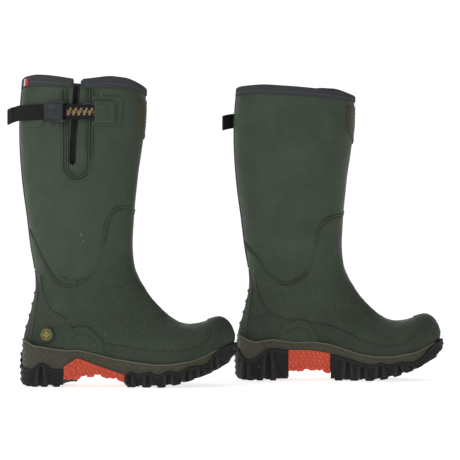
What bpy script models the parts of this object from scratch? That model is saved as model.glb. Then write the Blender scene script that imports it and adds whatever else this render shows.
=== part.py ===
"""A pair of insulated rubber hunting boots, size EU 43, as separate pieces.

Every piece is modelled once, as the right boot's, in that boot's own frame: millimetres, +X to the toe,
-Y to the outer (lateral) side, +Z up, with X = 0 near the back of the heel and Z = 0 on the floor. The left
boot's objects share those meshes and hang from an empty that mirrors them.
"""

import math

import bmesh
import bpy
from mathutils import Matrix, Vector

# ---------------------------------------------------------------- driving dimensions, in millimetres
MM = 0.001
STAGGER = 306.0  # how far the left boot stands ahead of the right one
SPACING = 150.0  # between the two boots' middle planes
GAP = 0.35  # left between neighbouring pieces

RUBBER = 2.5  # wall of the rubber shell
NEOPRENE = 4.0  # wall of the insulating bootie
STIFFENER_ROOM = 1.9  # extra room between shell and bootie where the foot's stiffeners lie

STRAP_AXIS = (88.0, 63.5)  # centre of the strap's arc, in plan
STRAP_RADIUS = 124.0  # inner face of the webbing
STRAP_THICK = 1.4
STRAP_LOW, STRAP_HIGH = 376.0, 398.0
STRAP_FRONT_X, STRAP_TAIL_X = 128.0, -17.0
CHEEK_REACH = 3.0  # how far the buckle's frame stands past the webbing's edges

PIN_X = 62.0
PIN_RADIUS = 1.2
PIN_HOLE_RADIUS = 1.6
PIN_LIFT = 2.9  # from the webbing's outer face to the pin's centre

# The skin is a loft of sections, each lying between a point on the front outline and one on the back outline.
# Columns: front x, z; back x, z; middle y; lateral and medial half width; where the section is widest, as a
# share of the way from front to back; and how square its front and back halves are (2 is an ellipse).
STATIONS = [
    (178.0, 427.0, 2.5, 435.0, 0.0, 55.5, 55.5, 0.50, 2.00, 2.0),  # rim
    (177.0, 380.0, -1.2, 384.0, 0.0, 56.0, 56.0, 0.50, 2.00, 2.0),
    (172.5, 335.0, -0.8, 337.0, 0.0, 55.5, 55.5, 0.50, 2.00, 2.0),
    (166.0, 288.0, 3.0, 289.0, 0.0, 54.0, 54.0, 0.50, 2.00, 2.0),
    (161.0, 240.0, 9.5, 240.0, 0.0, 50.5, 50.5, 0.50, 2.00, 2.0),
    (160.0, 200.0, 14.5, 199.0, 0.0, 47.0, 47.0, 0.50, 2.00, 2.0),
    (163.0, 170.0, 20.0, 166.0, 0.0, 44.0, 44.0, 0.52, 2.00, 2.0),  # ankle
    (169.0, 152.5, 22.0, 138.0, 0.0, 42.0, 41.5, 0.54, 1.95, 2.1),
    (177.0, 139.0, 17.5, 108.0, 0.0, 39.5, 39.0, 0.56, 1.90, 2.2),
    (184.0, 128.0, 12.5, 74.0, 0.0, 37.0, 36.0, 0.60, 1.90, 2.4),
    (190.0, 120.5, 12.5, 47.0, 0.0, 36.0, 34.5, 0.64, 1.85, 2.8),
    (195.0, 115.0, 23.0, 35.0, 0.0, 36.0, 34.0, 0.66, 1.85, 3.4),  # corner of the heel seat
    (202.0, 108.0, 62.0, 33.0, 0.0, 36.0, 33.0, 0.68, 1.85, 4.2),
    (210.5, 100.5, 108.0, 34.0, 0.5, 38.0, 32.0, 0.70, 1.85, 4.4),
    (220.0, 94.0, 152.0, 28.0, 1.0, 47.0, 39.0, 0.72, 1.90, 4.4),
    (230.0, 89.5, 190.0, 21.5, 2.0, 53.0, 45.5, 0.72, 2.00, 4.2),
    (242.0, 88.0, 220.0, 20.5, 3.0, 54.5, 49.0, 0.70, 2.05, 4.0),  # ball of the foot
    (256.0, 90.0, 246.0, 23.5, 4.5, 51.0, 47.0, 0.68, 2.10, 3.6),
    (270.0, 94.0, 267.0, 29.0, 6.5, 43.0, 40.0, 0.66, 2.15, 3.3),
    (283.0, 96.5, 283.0, 36.5, 8.5, 33.0, 30.5, 0.63, 2.20, 3.0),
    (293.0, 92.0, 294.5, 45.0, 10.0, 22.5, 20.5, 0.60, 2.20, 2.7),
    (300.0, 83.0, 301.5, 54.0, 11.0, 13.5, 12.0, 0.56, 2.20, 2.4),
    (304.0, 72.5, 304.8, 63.0, 11.5, 4.5, 4.0, 0.50, 2.10, 2.1),
]
TOE_TIP = Vector((305.5, 11.8, 67.5))
# How far the rim stands above or below the plane of its section: (degrees, height). It arches on each side.
RIM_LIFT = [
    (0, -7.0), (22, -1.5), (44, 6.0), (64, 7.0), (79, 3.0), (91, 0.0), (97, 0.0), (110, 2.5), (125, 4.5), (140, 5.0),
    (160, 2.0), (180, -4.0), (200, -1.0), (236, 2.0), (278, 0.0), (318, -3.5), (339, -6.5), (360, -7.0),
]
RIM_FADE = 0.45  # the row by which the rim's arches have died away
ANKLE = 6.0  # the station where the leg shell meets the foot shell
SLIT_END = 2.5  # the station where the gusset's slit ends
SLIT = (91.0, 97.0)  # the slit's two edges, in degrees round the section

# The sole's plan, in matched lateral and medial points from the heel's back to the toe: x, y, x, y.
OUTLINE = [
    (0.5, -9.0, 0.5, 9.0),
    (5.0, -25.0, 5.0, 24.0),
    (17.0, -37.0, 17.0, 35.5),
    (36.0, -42.0, 36.0, 41.0),
    (60.0, -42.5, 62.0, 41.0),
    (86.0, -42.5, 84.0, 39.5),
    (112.0, -43.5, 112.0, 39.0),
    (138.0, -47.0, 138.0, 40.5),
    (160.0, -52.0, 162.0, 43.0),
    (184.0, -57.0, 186.0, 51.0),
    (208.0, -58.5, 210.0, 56.0),
    (232.0, -56.0, 234.0, 58.0),
    (254.0, -49.0, 256.0, 56.0),
    (273.0, -38.5, 275.0, 49.0),
    (289.0, -25.0, 291.0, 39.0),
    (301.0, -9.5, 302.5, 27.5),
    (308.5, 5.5, 308.5, 18.0),
]
HEEL_CUT = (4.10, 4.78)  # where the heel piece ends along the lateral and the medial outline
FORE_CUT = (7.55, 7.15)  # where the forefoot piece begins
TOE_END = (16.0, 16.0)

# Heights along X: (x, z).
LUG_FACE = [(0, 3.0), (12, 0), (205, 0), (219, 2.5), (235, 6), (252, 11.5), (268, 17), (284, 25), (300, 35), (309, 45)]
SLAB_TOP = [(0, 13), (55, 13), (80, 23), (110, 25), (135, 18), (155, 13), (205, 12), (235, 16), (268, 27), (290, 39), (309, 53)]
ARCH_FACE = [(60, 9), (75, 14), (95, 18.5), (115, 20), (135, 13.5), (150, 9.0)]
WRAP_TOP_LATERAL = [
    (0, 67), (8, 65), (18, 59), (36, 56.5), (51, 54), (69, 52), (83, 52.5), (96, 50), (134, 40.5),
    (167, 35.5), (194, 32.5), (215, 33), (246, 37.5), (264, 44.5), (281, 52), (294, 57.5), (309, 62),
]
WRAP_TOP_MEDIAL = [
    (0, 67), (5, 67), (13, 62), (23, 58.5), (32, 57.5), (43, 60), (55, 61.5), (86, 57), (119, 57.5),
    (140, 54), (161, 47), (182, 40), (203, 36.5), (231, 36.5), (267, 43), (285, 51), (309, 62),
]
HEEL_WAVE_LATERAL = [(0, 28), (15, 24), (20, 27), (29, 34), (36, 34), (47, 25), (60, 25)]
HEEL_WAVE_MEDIAL = [(0, 50), (4, 48), (11, 32), (26, 31), (43, 45), (52, 48), (79, 45)]
ARCH_WAVE_LATERAL = [(60, 26), (83, 41), (112, 30), (148, 18)]
ARCH_WAVE_MEDIAL = [(78, 45), (111, 45), (141, 40)]
FORE_WAVE_LATERAL = [
    (149, 15), (157, 23.5), (168, 17.5), (183, 22.5), (197, 17), (212, 24.5), (226, 20), (240, 29),
    (267, 31.5), (277, 46), (281, 52), (294, 57.5), (309, 62),
]
FORE_WAVE_MEDIAL = [
    (141, 39.5), (161, 34), (182, 27.5), (200, 23), (214, 27.5), (227, 23.5), (244, 28.5), (260, 27),
    (271, 31), (279, 38), (285, 45), (295, 55), (309, 62),
]
UPSTAND = 2.3  # thickness of the outsole's side wall
LUG_DEPTH = 5.0


# ---------------------------------------------------------------- curves and the boot's skin
def level(points, x):
    """The height at x along a list of (x, z), with straight runs between its points."""
    if x <= points[0][0]:
        return points[0][1]
    for (x0, z0), (x1, z1) in zip(points, points[1:]):
        if x <= x1:
            return z0 + (z1 - z0) * (x - x0) / (x1 - x0)
    return points[-1][1]


def between(rows, s):
    """A row of the table at s, on a smooth curve through its rows."""
    last = len(rows) - 1
    i = max(0, min(int(math.floor(s)), last - 1))
    t = s - i
    b, c = rows[i], rows[i + 1]
    a = rows[i - 1] if i > 0 else [2 * p - q for p, q in zip(b, c)]
    d = rows[i + 2] if i + 2 <= last else [2 * q - p for p, q in zip(b, c)]
    return [
        0.5 * (2 * q + (r - p) * t + (2 * p - 5 * q + 4 * r - v) * t**2 + (3 * q - p - 3 * r + v) * t**3)
        for p, q, r, v in zip(a, b, c, d)
    ]


def section_point(s, degrees):
    """A point on the skin, and the middle of its section. Degrees: 0 front, 90 lateral, 180 back, 270 medial."""
    fx, fz, bx, bz, middle, lateral, medial, widest, front_power, back_power = between(STATIONS, s)
    along, across = math.cos(math.radians(degrees)), math.sin(math.radians(degrees))
    power = front_power if along >= 0 else back_power
    reach = (abs(along) ** power + abs(across) ** power) ** (-1 / power)
    along, across = along * reach, across * reach
    centre = Vector((fx + widest * (bx - fx), middle, fz + widest * (bz - fz)))
    end = Vector((fx, middle, fz)) if along >= 0 else Vector((bx, middle, bz))
    point = centre + abs(along) * (end - centre)
    point.y -= across * (lateral if across > 0 else medial)
    point.z += level(RIM_LIFT, degrees % 360) * max(0.0, 1.0 - s / RIM_FADE)
    return point, centre


def skin(s, degrees, offset=0.0):
    """A point that far outside the skin, along its normal."""
    ds, da = 0.02, 0.5
    top = min(s + ds, len(STATIONS) - 1)
    point, centre = section_point(s, degrees)
    down = section_point(top, degrees)[0] - section_point(top - 2 * ds, degrees)[0]
    around = section_point(s, degrees + da)[0] - section_point(s, degrees - da)[0]
    normal = down.cross(around).normalized()
    if normal.dot(point - centre) < 0:
        normal.negate()
    return point + offset * normal


def bootie_face(s):
    """How deep the bootie's outer face lies under the skin: deeper in the foot, over the stiffeners."""
    share = min(1.0, max(0.0, s - 6.5))
    return -(RUBBER + GAP + STIFFENER_ROOM * share)


def outline(u, side, inset=0.0):
    """A point of the sole's plan. Side is 0 for lateral, 1 for medial."""
    here = between(OUTLINE, u)[2 * side : 2 * side + 2]
    ahead = between(OUTLINE, min(u + 0.05, 16.0))[2 * side : 2 * side + 2]
    behind = between(OUTLINE, max(u - 0.05, 0.0))[2 * side : 2 * side + 2]
    run = Vector((ahead[0] - behind[0], ahead[1] - behind[1], 0.0)).normalized()
    inward = Vector((-run.y, run.x, 0.0)) if side == 0 else Vector((run.y, -run.x, 0.0))
    return Vector((here[0], here[1], 0.0)) + inset * inward


# ---------------------------------------------------------------- meshes
def new_mesh(name, points, faces):
    """A closed mesh in metres from points in millimetres, with its faces pointing out."""
    mesh = bpy.data.meshes.new(name)
    mesh.from_pydata([Vector(p) * MM for p in points], [], faces)
    shaped = bmesh.new()
    shaped.from_mesh(mesh)
    bmesh.ops.remove_doubles(shaped, verts=shaped.verts, dist=1e-7)
    bmesh.ops.recalc_face_normals(shaped, faces=shaped.faces)
    shaped.to_mesh(mesh)
    shaped.free()
    return mesh


def halves(faces):
    """The faces with each four-sided one split along its first corner's diagonal."""
    return [part for f in faces for part in ([f] if len(f) == 3 else [f[:3], (f[0], f[2], f[3])])]


def thick_skin(name, rows, columns, outer, inner, ring=False, to_toe=False, keep=None):
    """A wall between two offsets of the skin.

    Columns are angles, or a function from the row to its angles. Outer and inner are offsets, or functions of
    the row and the angle. Keep says, from a row and a column's number, whether the cell that starts there stays.
    """
    columns_at = columns if callable(columns) else lambda s: columns
    outer_at = outer if callable(outer) else lambda s, a: outer
    inner_at = inner if callable(inner) else lambda s, a: inner
    points = [skin(s, a, outer_at(s, a)) for s in rows for a in columns_at(s)]
    points += [skin(s, a, inner_at(s, a)) for s in rows for a in columns_at(s)]
    width = len(columns_at(rows[0]))
    layer = len(rows) * width
    faces = []
    for i in range(len(rows) - 1):
        for j in range(width if ring else width - 1):
            if keep is None or keep(rows[i], j):
                k = (j + 1) % width
                faces.append((i * width + j, i * width + k, (i + 1) * width + k, (i + 1) * width + j))
    tips = {}
    if to_toe:
        base = (len(rows) - 1) * width
        tips = {2 * layer: 2 * layer + 1}
        points.append(TOE_TIP + Vector((outer_at(rows[-1], 0), 0, 0)))
        points.append(TOE_TIP + Vector((inner_at(rows[-1], 0), 0, 0)))
        faces += [(base + j, base + (j + 1) % width, 2 * layer) for j in range(width)]

    def under(v):
        return tips.get(v, v + layer)

    edges = [(f[k], f[(k + 1) % len(f)]) for f in faces for k in range(len(f))]
    both_ways = set(edges)
    walls = [(b, a, under(a), under(b)) for a, b in edges if (b, a) not in both_ways]
    faces = halves(faces)
    back = [tuple(under(v) for v in reversed(f)) for f in faces]
    used = sorted({v for f in faces + walls + back for v in f})
    place = {v: n for n, v in enumerate(used)}
    return new_mesh(name, [points[v] for v in used], [[place[v] for v in f] for f in faces + walls + back])


def skin_solid(rows, offset, to_toe=True):
    """The whole space inside the skin, grown by an offset, between two rows or from a row to the toe."""
    points = [skin(s, a, offset) for s in rows for a in COLUMNS] + [TOE_TIP + Vector((offset, 0, 0))]
    width = len(COLUMNS)
    faces = [tuple(range(width))]
    if not to_toe:
        points.pop()
    for i in range(len(rows) - 1):
        for j in range(width):
            k = (j + 1) % width
            faces.append((i * width + j, i * width + k, (i + 1) * width + k, (i + 1) * width + j))
    base = (len(rows) - 1) * width
    if to_toe:
        faces += [(base + j, base + (j + 1) % width, base + width) for j in range(width)]
    else:
        faces.append(tuple(range(base, base + width)))
    return new_mesh("inside", points, [part for f in faces for part in (halves([f]) if len(f) == 4 else [f])])


def on_leg(mesh):
    """A piece whose back is shaped to the leg shell."""
    return cut(mesh, skin_solid(LEG_ROWS, GAP, to_toe=False))


def on_foot(mesh, offset=GAP):
    """A piece whose back is shaped to the foot shell, or to what lies that thick on it."""
    return cut(mesh, skin_solid(FOOT_SPACE_ROWS, offset))


def sweep(name, rings):
    """A closed bar through rings of the same number of points, with flat ends."""
    count, width = len(rings), len(rings[0])
    faces = [
        (i * width + j, i * width + (j + 1) % width, (i + 1) * width + (j + 1) % width, (i + 1) * width + j)
        for i in range(count - 1)
        for j in range(width)
    ]
    faces += [tuple(reversed(range(width))), tuple(range((count - 1) * width, count * width))]
    return new_mesh(name, [p for ring in rings for p in ring], faces)


def block(name, pairs, inset, low, high, across=1, lugs=()):
    """A solid inside the sole's plan, between two heights.

    Pairs are (lateral, medial) places along the outline. Low gives a height from x, and high one from x and
    side. Across is how many cells the underside has in a row, and lugs the (row, cell) that stand down.
    """
    count = len(pairs)
    lateral = [outline(u, 0, inset) for u, _ in pairs]
    medial = [outline(u, 1, inset) for _, u in pairs]
    points, under, over = [], [], []
    for a, b in zip(lateral, medial):
        line = []
        for j in range(across + 1):
            p = a.lerp(b, j / across)
            line.append(len(points))
            points.append(Vector((p.x, p.y, low(a.x) + (low(b.x) - low(a.x)) * j / across)))
        under.append(line)
        over.append((len(points), len(points) + 1))
        points += [Vector((a.x, a.y, high(a.x, 0))), Vector((b.x, b.y, high(b.x, 1)))]
    faces = []
    for i in range(count - 1):
        faces.append((over[i][0], over[i + 1][0], over[i + 1][1], over[i][1]))
        faces.append((under[i][0], under[i + 1][0], over[i + 1][0], over[i][0]))
        faces.append((under[i][-1], over[i][1], over[i + 1][1], under[i + 1][-1]))
        for j in range(across):
            if (i, j) not in lugs:
                faces.append((under[i][j], under[i][j + 1], under[i + 1][j + 1], under[i + 1][j]))
                continue
            corner = [under[i][j], under[i][j + 1], under[i + 1][j + 1], under[i + 1][j]]
            middle = sum((points[c] for c in corner), Vector()) / 4
            foot = []
            for c in corner:
                foot.append(len(points))
                points.append(points[c].lerp(middle, 0.2) - Vector((0, 0, LUG_DEPTH)))
            faces += [(corner[k], corner[(k + 1) % 4], foot[(k + 1) % 4], foot[k]) for k in range(4)]
            faces.append(tuple(foot))
    faces.append((*reversed(under[0]), *over[0]))
    faces.append((*under[-1], *reversed(over[-1])))
    return new_mesh(name, points, faces)


def cut(mesh, *cutters, operation="DIFFERENCE"):
    """The mesh with each cutter taken out of it, or what it shares with them, as a new mesh."""
    worker = bpy.data.objects.new("worker", mesh)
    bpy.context.scene.collection.objects.link(worker)
    helpers = [worker]
    for cutter in cutters:
        helper = bpy.data.objects.new("cutter", cutter)
        bpy.context.scene.collection.objects.link(helper)
        helpers.append(helper)
        boolean = worker.modifiers.new("cut", "BOOLEAN")
        boolean.operation = operation
        boolean.solver = "EXACT"
        boolean.object = helper
    graph = bpy.context.evaluated_depsgraph_get()
    result = bpy.data.meshes.new_from_object(worker.evaluated_get(graph))
    result.name = mesh.name
    result.materials.clear()
    for helper in helpers:
        bpy.data.objects.remove(helper)
    return result


# ---------------------------------------------------------------- the upper
COLUMNS = [0, 22, 44, 64, 79, *SLIT, 110, 125, 140, 160, 180, 200, 220, 236, 256, 278, 298, 318, 339]
LEG_ROWS = [0, RIM_FADE, 1.2, SLIT_END, 3.2, 4.2, 5.2, ANKLE]
FOOT_ROWS = [7, 8, 9, 10, 11, 12.5, 14, 16, 18, 19.5, 21, 22]
NOTCH = (79, 110)  # the bootie is cut away between these, behind the slit
NOTCH_END = 3.2
BAND = (81.0, 87.0, 101.0, 107.0)  # the edges of the band round the slit, in degrees
BINDING_LOW = 0.24  # where the rim's binding ends, down the leg
BINDING_THICK = 1.4
BOOTIE_DEPTH = RUBBER + GAP + NEOPRENE
INTO = 1.5  # how far an outer piece is drawn into the shell before its back is cut to fit


def leg_shell():
    """The rubber leg, with the gusset's slit on its outer side."""

    def keep(s, j):
        return not (s < SLIT_END and COLUMNS[j] == SLIT[0])

    return thick_skin("leg_shell", LEG_ROWS, COLUMNS, 0.0, -RUBBER, ring=True, keep=keep)


def foot_shell():
    """The rubber foot, from the ankle to the toe."""
    return thick_skin("foot_shell", [ANKLE + 0.012, *FOOT_ROWS], COLUMNS, 0.0, -RUBBER, ring=True, to_toe=True)


def lining_bootie():
    """The neoprene bootie, cut away where the gusset's bellows lies."""

    def keep(s, j):
        return not (s < NOTCH_END and NOTCH[0] <= COLUMNS[j] < NOTCH[1])

    def outer(s, a):
        return bootie_face(s)

    def inner(s, a):
        return bootie_face(s) - NEOPRENE

    rows = [*LEG_ROWS, *FOOT_ROWS[:-1]]
    return thick_skin("lining_bootie", rows, COLUMNS, outer, inner, ring=True, to_toe=True, keep=keep)


def gusset():
    """The folded bellows behind the slit."""
    folds = [(81, 0.6), (86, 4.5), (91, 0.6), (94, 5.5), (97, 0.6), (102, 4.5), (107, 0.6)]
    depth = dict(folds)

    def outer(s, a):
        return -(RUBBER + GAP) - depth[a]

    def inner(s, a):
        return outer(s, a) - 1.2

    return thick_skin("gusset", [0.36, 1, 1.7, 2.3, 2.9], [a for a, _ in folds], outer, inner)


def rim_binding():
    """The tape folded over the rim, open at the slit."""
    rings = []
    start, end = SLIT[1] + 1.5, SLIT[0] - 1.5 + 360
    outside, inside = GAP + BINDING_THICK, -(BOOTIE_DEPTH + GAP)
    turns = [a for c in COLUMNS for a in (c, c + 360) if start + 4 < a < end - 4]
    for a in [start, *sorted(turns), end]:
        top = Vector((0, 0, GAP))
        cap = Vector((0, 0, GAP + BINDING_THICK))
        rings.append(
            [
                skin(BINDING_LOW, a, outside),
                skin(0, a, outside) + cap,
                skin(0, a, inside - BINDING_THICK) + cap,
                skin(BINDING_LOW, a, inside - BINDING_THICK),
                skin(BINDING_LOW, a, inside),
                skin(0, a, inside) + top,
                skin(0, a, GAP) + top,
                skin(BINDING_LOW, a, GAP),
            ]
        )
    return sweep("rim_binding", rings)


def side_label():
    """The small woven label on the binding."""
    low = GAP + BINDING_THICK + GAP
    return thick_skin("side_label", [0.04, 0.21], [150, 154, 158], low + 0.7, low)


def slit_band():
    """The U-shaped band moulded round the slit."""

    def keep(s, j):
        return j != 1 or s > SLIT_END

    rows = [BINDING_LOW + 0.02, 0.8, 1.4, 2.0, SLIT_END + 0.1, SLIT_END + 0.4]
    return on_leg(thick_skin("slit_band", rows, list(BAND), 1.7, -INTO, keep=keep))


def back_stay():
    """The narrow strip down the back of the leg."""
    return on_leg(thick_skin("back_stay", [BINDING_LOW + 0.02, *LEG_ROWS[1:-1], 5.9], [176, 184], 1.7, -INTO))


def front_badge():
    """The shield on the front of the leg, with a point at its foot."""

    def columns(s):
        half = 29.0 if s < 1.25 else 29.0 - 23.0 * (s - 1.25) / 0.4
        return [-half, -half / 2, 0, half / 2, half]

    return on_leg(thick_skin("front_badge", [0.42, 0.8, 1.25, 1.65], columns, 2.0, -INTO))


def heel_spur():
    """The ribbed kick panel down the back of the heel."""
    reach = {6.2: 10, 6.6: 16, 7: 20, 7.6: 24, 8.2: 27, 8.7: 29, 9.1: 30}
    thick = {6.2: 1.3, 6.6: 1.5, 7: 1.8, 7.6: 2.4, 8.2: 3.6, 8.7: 5.0, 9.1: 6.0}

    def columns(s):
        return [180 + reach[s] * k for k in (-1, -0.5, 0, 0.5, 1)]

    def outer(s, a):
        return 1.4 + (thick[s] - 1.0) * math.cos(math.radians(90 * abs(a - 180) / reach[s]))

    return on_foot(thick_skin("heel_spur", list(reach), columns, outer, -INTO))


FOXING = GAP + 1.3  # outer face of the foxing


def foxing():
    """The thin rubber rand round the foot, which becomes the toe cap."""
    top = [(8, 128), (9, 118), (10, 108), (11, 104), (12, 98), (13, 90), (14, 82), (16, 72), (18, 60), (19, 45)]

    def keep(s, j):
        middle = 0.5 * (COLUMNS[j] + [*COLUMNS, 360][j + 1])
        turn = min(middle, 360 - middle)
        return turn < 140 and (s > 19 or turn > level(top, s + 0.5))

    return thick_skin("foxing", FOOT_ROWS[1:], COLUMNS, FOXING, GAP, ring=True, to_toe=True, keep=keep)


# ---------------------------------------------------------------- the strap and its buckle
def on_arc(x, radius, z):
    """A point on an arc round the strap's axis, by its x."""
    return Vector((x, STRAP_AXIS[1] - math.sqrt(radius**2 - (x - STRAP_AXIS[0]) ** 2), z))


def arc_bar(name, front, back, inner, outer, low, high, steps=14):
    """A bar bent round the strap's axis, between two places along X on its inner face."""
    start = math.asin((front - STRAP_AXIS[0]) / inner)
    end = math.asin((back - STRAP_AXIS[0]) / inner)
    rings = []
    for k in range(steps + 1):
        turn = start + (end - start) * k / steps
        out = Vector((math.sin(turn), -math.cos(turn), 0.0))
        hub = Vector((STRAP_AXIS[0], STRAP_AXIS[1], 0.0))
        rings.append([hub + out * r + Vector((0, 0, z)) for r, z in ((inner, low), (outer, low), (outer, high), (inner, high))])
    return sweep(name, rings)


def strap():
    """The webbing, from inside the front patch through the buckle to its free tail."""
    outer = STRAP_RADIUS + STRAP_THICK
    return arc_bar("strap", STRAP_FRONT_X, STRAP_TAIL_X, STRAP_RADIUS, outer, STRAP_LOW, STRAP_HIGH)


def strap_front_patch():
    """The patch that holds the webbing's front end in a pocket."""
    pad = on_leg(thick_skin("strap_front_patch", [0.48, 0.9, 1.38], [50, 57, 64, 71, 77], 5.9, -INTO))
    room = 0.35
    pocket = arc_bar(
        "pocket",
        STRAP_FRONT_X + 1.5,
        90.0,
        STRAP_RADIUS - room,
        STRAP_RADIUS + STRAP_THICK + room,
        STRAP_LOW - room,
        STRAP_HIGH + room,
    )
    return cut(pad, pocket)


def strap_rear_patch():
    """The patch behind the buckle."""
    return on_leg(thick_skin("strap_rear_patch", [0.95, 1.35], [112, 124, 136, 148, 160], 1.7, -INTO))


PIN = on_arc(PIN_X, STRAP_RADIUS + STRAP_THICK + PIN_LIFT, 0.5 * (STRAP_LOW + STRAP_HIGH))
PIN_OUT = Vector((PIN_X - STRAP_AXIS[0], PIN.y - STRAP_AXIS[1], 0.0)).normalized()
PIN_BACK = Vector((PIN_OUT.y, -PIN_OUT.x, 0.0))  # along the strap, to the heel


def at_pin(back, out, up):
    return PIN + PIN_BACK * back + PIN_OUT * out + Vector((0, 0, up))


def pin_cylinder(name, radius, half):
    rings = []
    for up in (-half, half):
        turns = [2 * math.pi * k / 16 for k in range(16)]
        rings.append([at_pin(radius * math.cos(t), radius * math.sin(t), up) for t in turns])
    return sweep(name, rings)


STRAP_HALF = 0.5 * (STRAP_HIGH - STRAP_LOW)


def buckle_frame():
    """The buckle's channel: a base under the webbing and a cheek past each of its edges."""
    web = -(PIN_LIFT + STRAP_THICK)
    near, far = STRAP_HALF + 0.5, STRAP_HALF + CHEEK_REACH
    profile = [
        (web - 2.1, -far), (2.7, -far), (2.7, -near), (web - 0.7, -near),
        (web - 0.7, near), (2.7, near), (2.7, far), (web - 2.1, far),
    ]
    body = sweep("buckle_frame", [[at_pin(back, out, up) for out, up in profile] for back in (-7.0, 9.0)])
    return cut(body, pin_cylinder("hole", PIN_HOLE_RADIUS, far + 2))


def buckle_pin():
    """The lever's hinge pin."""
    return pin_cylinder("buckle_pin", PIN_RADIUS, STRAP_HALF + CHEEK_REACH)


def buckle_lever():
    """The cam lever, closed down over the webbing."""
    turns = [math.radians(a) for a in (16, -15, -45, -75, -105, -135, -165, -195, -225, -250, -270)]
    hub = [(2.5 * math.cos(t), 2.5 * math.sin(t)) for t in turns]
    profile = [*hub, (10, 2.5), (19, 2.0), (24, 3.2), (24.5, 1.8), (19, 0.5), (10, 0.7)]
    half = STRAP_HALF - 0.1
    body = sweep("buckle_lever", [[at_pin(b, o, up) for b, o in profile] for up in (-half, half)])
    return cut(body, pin_cylinder("hole", PIN_HOLE_RADIUS, half + 2))


# ---------------------------------------------------------------- the sole
FULL = [(0.5 * k, 0.5 * k) for k in range(33)]
WRAP_END = 14.0
CORE_INSET = UPSTAND + GAP + 11.5
FOOT_SPACE_ROWS = [ANKLE, *FOOT_ROWS]


def spread(start, end, count):
    """Matched places along the outline, from one (lateral, medial) pair to another."""
    return [tuple(a + (b - a) * k / count for a, b in zip(start, end)) for k in range(count + 1)]


def on_slab(mesh):
    """A piece whose underside is shaped to the top of the outsole's slab."""
    return cut(mesh, block("slab", FULL, UPSTAND, lambda x: -20.0, lambda x, side: slab_top(x) + GAP))


def wave(lateral, medial):
    return lambda x, side: level(medial if side else lateral, x)


def slab_top(x):
    return level(SLAB_TOP, x)


def cup(end=WRAP_END + 0.02):
    """The space that the outsole's side wall stands round."""
    pairs = [(u, v) for u, v in FULL if u < end] + [(end, end)]
    return block("cup", pairs, UPSTAND, slab_top, lambda x, side: 110.0)


def outsole(name, start, end, count, low, top, across=1, lugs=()):
    """An outsole piece, hollowed for the midsole and, at the toe, for the foot."""
    body = block(name, spread(start, end, count), 0.0, low, top, across, lugs)
    return cut(body, cup(), skin_solid(FOOT_SPACE_ROWS, FOXING + GAP))


def lug_face(x):
    return level(LUG_FACE, x) + LUG_DEPTH


def heel_outsole():
    lugs = [(i, j) for i in (1, 3, 5, 7, 9) for j in (0, 3)] + [(i, j) for i in (0, 4, 8) for j in (1, 2)]
    top = wave(HEEL_WAVE_LATERAL, HEEL_WAVE_MEDIAL)
    return outsole("heel_outsole", (0, 0), HEEL_CUT, 11, lug_face, top, 4, lugs)


def arch_insert():
    start = tuple(u + 0.03 for u in HEEL_CUT)
    end = tuple(u - 0.03 for u in FORE_CUT)
    lugs = [(i, j) for i in (1, 3, 5, 7) for j in (0, 3)]
    top = wave(ARCH_WAVE_LATERAL, ARCH_WAVE_MEDIAL)

    def low(x):
        return level(ARCH_FACE, x)

    return outsole("arch_insert", start, end, 9, low, top, 4, lugs)


def forefoot_outsole():
    lugs = [(i, j) for i in range(1, 14, 2) for j in (0, 4)] + [(i, j) for i in range(0, 13, 2) for j in (1, 3)]
    top = wave(FORE_WAVE_LATERAL, FORE_WAVE_MEDIAL)
    return outsole("forefoot_outsole", FORE_CUT, TOE_END, 16, lug_face, top, 5, lugs)


def core_block(name, grow):
    """The foam core's space: inside the midsole's wall, up to the foot."""
    pairs = [(u + grow * side, u + grow * side) for u, side in ((2, -0.02), *((k, 0) for k in range(3, 13)), (13, 0.02))]
    return block(name, pairs, CORE_INSET - grow, lambda x: slab_top(x) - 4, lambda x, side: core_top(x) + 6 * grow)


def core_top(x):
    return level([(0, 43), (62, 41), (108, 41), (152, 36), (190, 31), (220, 30), (246, 33), (270, 38)], x)


def midsole():
    """The wall between the outsole and the foot, all round except the toe."""
    pairs = [(u, v) for u, v in FULL if u < WRAP_END] + [(WRAP_END, WRAP_END)]
    top = wave(WRAP_TOP_LATERAL, WRAP_TOP_MEDIAL)
    body = block("midsole", pairs, UPSTAND + GAP, lambda x: slab_top(x) + GAP, top)
    return cut(body, skin_solid(FOOT_SPACE_ROWS, FOXING + GAP), core_block("pocket", GAP))


def shank_bar(name, grow, deep):
    """The steel strip under the arch, or the groove for it."""
    rings = []
    for x, z in ((58, 26.0), (84, 27.6), (108, 28.0), (132, 25.6), (158, 21.5)):
        x = x + grow * (x - 108) / 50
        low, high, half = z - 0.75 - deep, z + 0.75 + grow, 7.0 + grow
        rings.append([Vector((x, y, h)) for y, h in ((-half, low), (half, low), (half, high), (-half, high))])
    return sweep(name, rings)


def shank():
    return shank_bar("shank", 0.0, 0.0)


def foam_core():
    """The foam that fills the midsole, grooved from below for the shank."""
    body = on_slab(core_block("foam_core", 0.0))
    return cut(body, skin_solid(FOOT_SPACE_ROWS, FOXING + GAP), shank_bar("groove", GAP, 30.0))


STIFFENER = (-(RUBBER + GAP), -(RUBBER + GAP + 1.2))  # the faces of the pieces between rubber and bootie


def insole_board():
    """The stiff board between the rubber and the bootie, under the foot."""
    return thick_skin("insole_board", [11, 12.5, 14, 16, 18], [140, 160, 180, 200, 220], *STIFFENER)


def heel_stiffener():
    """The cup that stiffens the heel, between the rubber and the bootie."""
    return thick_skin("heel_stiffener", [8, 9, 10], [140, 160, 180, 200, 220], *STIFFENER)


def toe_puff():
    """The cap that stiffens the toe, between the rubber and the bootie."""
    return thick_skin("toe_puff", [18, 19.5, 21], [298, 318, 339, 360, 382, 404, 424], *STIFFENER)


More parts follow.
